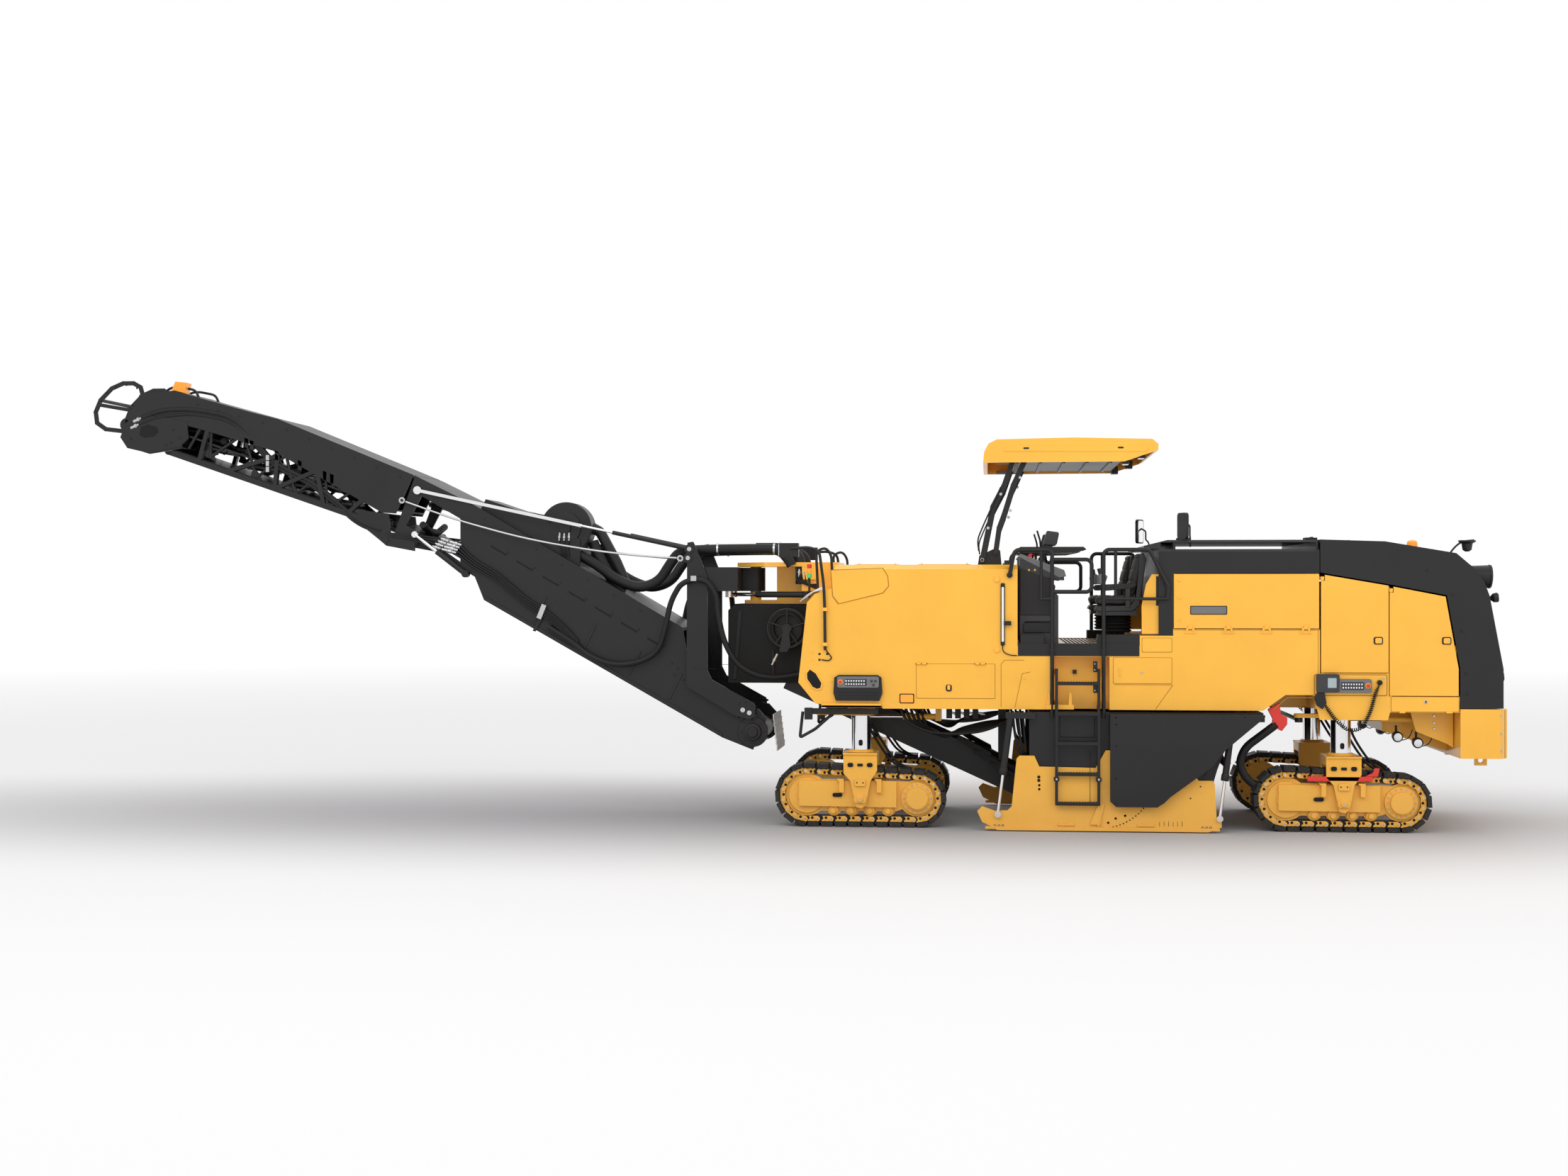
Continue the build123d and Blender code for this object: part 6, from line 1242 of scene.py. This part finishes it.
# ------------------------------------------------ drum housing and side plates
HOUSING_FACE, PLATE_FACE = 1.386, 1.3005
for _, hand in both_sides():
    bolts("black", "chassis", [(4.9, 1.18), (3.62, 1.17), (3.62, 1.1), (3.62, 0.88), (3.62, 0.55),
        (3.62, 0.3), (4.46, 0.48), (4.55, 0.62), (4.36, 0.36)], HOUSING_FACE, 0.009)
    # front of the housing beside the ladder: recessed panels and dark pipes
    hatch("black", "chassis", 3.06, 3.41, 0.96, 1.18, 1.2555, 0.006)
    kit("black").disc(3.22, 1.258, 1.02, 0.014, 0.008, 14)
    for k in range(3):
        hose("chassis", [(2.58 + 0.05 * k, 1.18, 1.22), (2.6 + 0.05 * k, 1.19, 1.0),
            (2.64 + 0.04 * k, 1.19, 0.8), (2.74, 1.15, 0.72 + 0.03 * k)], 0.014, bend=0.1)
    # side plate: bolts, arc of holes, ribs, marks and wear strip
    body = f"side_plate_{hand}"
    face = PLATE_FACE
    for x in (2.4, 2.44, 2.48, 4.49, 4.53, 4.57):
        kit("seam", body).disc(x, face, 0.055, 0.012, 0.004, 14)
        kit("steel", body).disc(x, face, 0.055, 0.007, 0.006, 10)
    for i in range(15):
        turn = radians(-83 + 3.6 * i)
        kit("seam", body).disc(3.45 + 0.585 * cos(turn), face, 0.62 + 0.585 * sin(turn), 0.0075,
            0.002, 10)
    kit("yellow_low", body, "rib").prism([(3.36, 0.075), (3.47, 0.075), (3.49, 0.31),
        (3.455, 0.32)], face, face + 0.02)
    for x in (3.12, 3.92):
        kit("yellow_low", body, "rib").prism([(x - 0.09, 0.062), (x + 0.09, 0.062),
            (x + 0.075, 0.095), (x + 0.03, 0.095), (x + 0.02, 0.078), (x - 0.02, 0.078),
            (x - 0.03, 0.095), (x - 0.075, 0.095)], face, face + 0.012)
    for i in range(6):
        x = 4.06 + 0.045 * i
        kit("seam", body).box((x - 0.002, face + 0.0003, 0.065),
            (x + 0.002, face + 0.0015, 0.11 + 0.004 * (i % 3)))
    for x, z in ((2.845, 0.555), (2.845, 0.52)):
        kit("seam", body).disc(x, face, z, 0.016, 0.003, 16)
    kit("yellow_low", body, "rib").prism([(2.3, 0.022), (4.66, 0.022), (4.66, 0.05), (2.3, 0.05)],
        face, face + 0.021)
    kit("seam", body).box((3.36, face + 0.0003, 0.3), (3.365, face + 0.0015, 0.83))
    # collars of the bright lifting rods
    for x, z in ((2.481, 0.575), (4.708, 0.533)):
        kit("black", part="collar").lathe((x, 1.318, z), (x + 0.009, 1.318, z + 0.07), [(0, 0.0345),
            (0, 0.038), (0.1, 0.041), (0.8, 0.041), (1, 0.038), (1, 0.0345)], 24, hollow=True)
    # guide and rubber apron behind the side cover
    kit("black", part="apron").prism([(4.43, 0.42), (4.56, 0.42), (4.7, 0.8), (4.84, 1.05),
        (4.74, 1.1), (4.62, 0.8)], 1.262, 1.225)
    # hoses and blocks under the front body, ahead of the housing
    for k in range(5):
        hose("chassis", [(1.42 + 0.05 * k, 1.0 - 0.05 * k, 1.245),
            (1.48 + 0.05 * k, 1.02 - 0.05 * k, 1.1 - 0.02 * k),
            (1.7 + 0.05 * k, 1.03 - 0.05 * k, 0.985 - 0.02 * k),
            (2.02, 1.02 - 0.05 * k, 0.965 + 0.01 * k), (2.3, 1.0 - 0.05 * k, 1.0 + 0.02 * k),
            (2.52, 0.98 - 0.05 * k, 1.1)], 0.016, bend=0.12)
    for k in range(4):
        coupling("chassis", (1.95 + 0.09 * k, 1.02, 1.19), (2.03 + 0.09 * k, 1.02, 1.17), 0.012)
        kit("black_rough", part="block").box((1.9 + 0.09 * k, 0.97, 1.13),
            (1.96 + 0.09 * k, 1.05, 1.235))
    kit("black", part="bracket").tube([(0.42, 1.17, 1.2), (0.4, 1.17, 1.02), (0.39, 1.17, 0.93),
        (0.55, 1.16, 1.02), (0.74, 1.15, 1.19)], 0.016, 12, 0.03)
    kit("black", part="bracket").box((0.44, 1.2, 1.175), (1.2, 1.15, 1.235))
    kit("black", part="bracket").box((0.44, 1.215, 1.12), (0.52, 1.14, 1.24))
    # dark lips of the pick-up conveyor
    for k in range(4):
        x = 2.02 + 0.17 * k
        kit("black_rough", part="lip").prism([(x, 0.92 - 0.13 * k), (x + 0.34, 0.74 - 0.13 * k),
            (x + 0.35, 0.7 - 0.13 * k), (x + 0.1, 0.8 - 0.13 * k), (x - 0.02, 0.88 - 0.13 * k)],
            0.505, 0.6)
    # weld plate of the front end
    kit("cast", part="weld").box((0.66, 0.6, 1.24), (0.72, 1.1, 1.26))

# ------------------------------------------------------------ hood and tail
for _ in both_sides():
    kit("black", "hood", "exhaust").lathe((7.2, 1.02, 2.6), (7.385, 1.02, 2.595),
        [(0, 0.105), (0.85, 0.115), (0.9, 0.122), (1, 0.118)], 32)
    kit("seam", "hood", "exhaust").lathe((7.383, 1.02, 2.595), (7.389, 1.02, 2.595),
        [(0, 0.098), (1, 0.095)], 32)
    for x, z in ((7.4, 2.375), (7.452, 1.58)):
        lamp_case = kit("black", "hood", "lamp")
        lamp_case.rod((x - 0.09, 1.08, z), (x - 0.02, 1.08, z), 0.014, 12)
        lamp_case.lathe((x - 0.03, 1.08, z), (x + 0.045, 1.08, z + 0.012),
            [(0, 0.02), (0.4, 0.046), (0.9, 0.05), (1, 0.044)], 22)
        kit("lens", "hood", "lamp").lathe((x + 0.044, 1.08, z + 0.012), (x + 0.05, 1.08, z + 0.012),
            [(0, 0.042), (1, 0.034)], 22)
    # intake grille on the shoulder of the hood
    for i in range(9):
        kit("seam", "hood", "grille").box((5.8 + 0.045 * i, 1.02, 2.84),
            (5.822 + 0.045 * i, 1.1, 2.905))
# round lamp on a bent arm over the tail
kit("black", "hood", "mast").tube([(6.98, -0.95, 2.8), (7.04, -0.95, 2.89), (7.12, -0.95, 2.955),
    (7.24, -0.95, 2.965)], 0.01, 12, 0.05)
kit("black", "hood", "mast").lathe((7.17, -0.95, 2.965), (7.17, -0.95, 2.85), [(0, 0.085),
    (0.12, 0.088), (0.3, 0.055), (0.85, 0.045), (1, 0.02)], 28)
# filler caps and lids on the top cover
for x, y in ((4.35, -0.7), (4.35, 0.7)):
    kit("black", part="cap").lathe((x, y, 2.965), (x, y, 3.005),
        [(0, 0.075), (0.7, 0.075), (1, 0.06)], 28)
for x_low, x_high in ((4.6, 5.05), (5.1, 5.55)):
    kit("seam", part="lid").box((x_low - 0.006, -0.706, 2.966), (x_high + 0.006, 0.706, 2.9715))
    kit("black", part="lid").box((x_low, -0.7, 2.966), (x_high, 0.7, 2.98))
    for i in range(7):
        kit("seam", part="lid").box((x_low + 0.05 + 0.05 * i, -0.45, 2.979),
            (x_low + 0.075 + 0.05 * i, 0.45, 2.982))

# --------------------------------------------------------------------- seats
SEAT_Y = 0.75
for out, hand in SIDES:
    body = f"seat_{hand}"
    cx, cy = 3.66, SEAT_Y * out
    kit("plastic", body, "base").lathe((cx, cy, 1.911), (cx, cy, 2.0),
        [(0, 0.13), (0.3, 0.13), (0.5, 0.075), (1, 0.07)], 28)
    for k in range(5):
        z = 2.02 + 0.035 * k
        kit("rubber", body, "bellows").lathe((cx, cy, z), (cx, cy, z + 0.035),
            [(0, 0.135), (0.5, 0.16), (1, 0.135)], 32)
    kit("plastic", body, "base").box((cx - 0.2, cy - 0.19, 2.195), (cx + 0.2, cy + 0.19, 2.255))
    # moulded shell behind the cushions
    kit("plastic", body, "shell").prism([(3.43, 2.25), (3.47, 2.235), (3.82, 2.24), (3.885, 2.3),
        (3.955, 2.78), (3.925, 2.845), (3.895, 2.835), (3.845, 2.36), (3.79, 2.3), (3.45, 2.29)],
        cy - 0.205, cy + 0.205)
    for across in (-1, 1):
        arm = kit("vinyl", body, "arm")
        arm.prism([(3.5, 2.475), (3.52, 2.45), (3.8, 2.47), (3.86, 2.5), (3.85, 2.53),
            (3.52, 2.515)], cy + 0.16 * across, cy + 0.218 * across)
        kit("grey", body, "arm").prism([(3.47, 2.52), (3.53, 2.52), (3.56, 2.6), (3.51, 2.64),
            (3.46, 2.6)], cy + 0.165 * across, cy + 0.212 * across)
        kit("plastic", body, "lever").rod((3.5, cy + 0.19 * across, 2.62),
            (3.485, cy + 0.19 * across, 2.685), 0.012, 14, 0.018)
        kit("plastic", body, "arm").box((3.74, cy + 0.196 * across, 2.28),
            (3.79, cy + 0.214 * across, 2.5))


def cushion(corners, rows, channels, cross):
    """A crowned pad with sunk channels, lofted between a line of sections.

    corners: (x, z, half width, depth) of each section along the pad;
    cross: the way its top faces for each section, as (x, z).
    """
    around, crown = 40, 0.018
    verts, faces = [], []
    length = len(corners) - 1
    for i in range(rows + 1):
        t = i / rows * length
        k = min(int(t), length - 1)
        share = t - k
        x, z, half, depth = (a + (b - a) * share for a, b in zip(corners[k], corners[k + 1]))
        nx, nz = (a + (b - a) * share for a, b in zip(cross[k], cross[k + 1]))
        size = (nx * nx + nz * nz) ** 0.5
        nx, nz = nx / size, nz / size
        place = i / rows
        end = min(1.0, (min(place, 1 - place) * 9 + 0.02) ** 0.5)
        sink = max(max(0.0, 1 - abs(place - mark) * rows / 1.6) for mark in channels)
        for j in range(around):
            turn = 2 * pi * j / around
            c, s = cos(turn), sin(turn)
            across = (abs(c) ** 0.55) * (1 if c > 0 else -1) * half * (0.94 + 0.06 * end)
            up = (abs(s) ** 0.62) * (1 if s > 0 else -1)
            bulge = groove = seam = 0.0
            if s > 0:
                bulge = crown * (1 - (across / half) ** 2) * end
                groove = 0.011 * sink
                seam = 0.006 * max(0.0, 1 - abs(abs(across) - half * 0.62) / 0.006)
            lift = up * depth / 2 * (0.55 + 0.45 * end) + bulge - groove - seam
            verts.append((x + nx * lift, across, z + nz * lift))
    for i in range(rows):
        for j in range(around):
            k = (j + 1) % around
            faces.append((i * around + j, i * around + k, (i + 1) * around + k,
                (i + 1) * around + j))
    faces.append(tuple(range(around - 1, -1, -1)))
    faces.append(tuple(rows * around + j for j in range(around)))
    return verts, faces


PADS = {
    "base": (((3.445, 2.335, 0.155, 0.075), (3.55, 2.345, 0.175, 0.085),
              (3.70, 2.340, 0.178, 0.085), (3.80, 2.350, 0.165, 0.080)),
             44, (0.35, 0.68), ((-0.3, 1), (-0.05, 1), (0.0, 1), (-0.1, 1))),
    "back": (((3.800, 2.395, 0.160, 0.075), (3.830, 2.52, 0.180, 0.085),
              (3.862, 2.66, 0.172, 0.080), (3.893, 2.79, 0.125, 0.070),
              (3.897, 2.835, 0.105, 0.055)),
             60, (0.30, 0.52, 0.74), ((-1, 0.16), (-1, 0.2), (-1, 0.22), (-1, 0.1), (-1, 0.1))),
}
for out, hand in SIDES:
    body, made = f"seat_{hand}", []
    for part, shape in PADS.items():
        verts, faces = cushion(*shape)
        mesh = bpy.data.meshes.new(f"seat_{part}_{hand}")
        mesh.from_pydata([(x, y + SEAT_Y * out, z) for x, y, z in verts], [], faces)
        mesh.update()
        pad = bpy.data.objects.new(f"seat_{part}_{hand}", mesh)
        bpy.context.scene.collection.objects.link(pad)
        solid = bmesh.new()
        solid.from_mesh(mesh)
        bmesh.ops.recalc_face_normals(solid, faces=solid.faces)
        solid.to_mesh(mesh)
        solid.free()
        mesh.polygons.foreach_set("use_smooth", [True] * len(mesh.polygons))
        fine = pad.modifiers.new("fine", "SUBSURF")
        fine.levels = fine.render_levels = 1
        mesh.materials.append(M["vinyl"])
        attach(pad, body)
        made.append(pad)
    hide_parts(f"seat_{hand}")

for made in KITS.values():
    made.done()
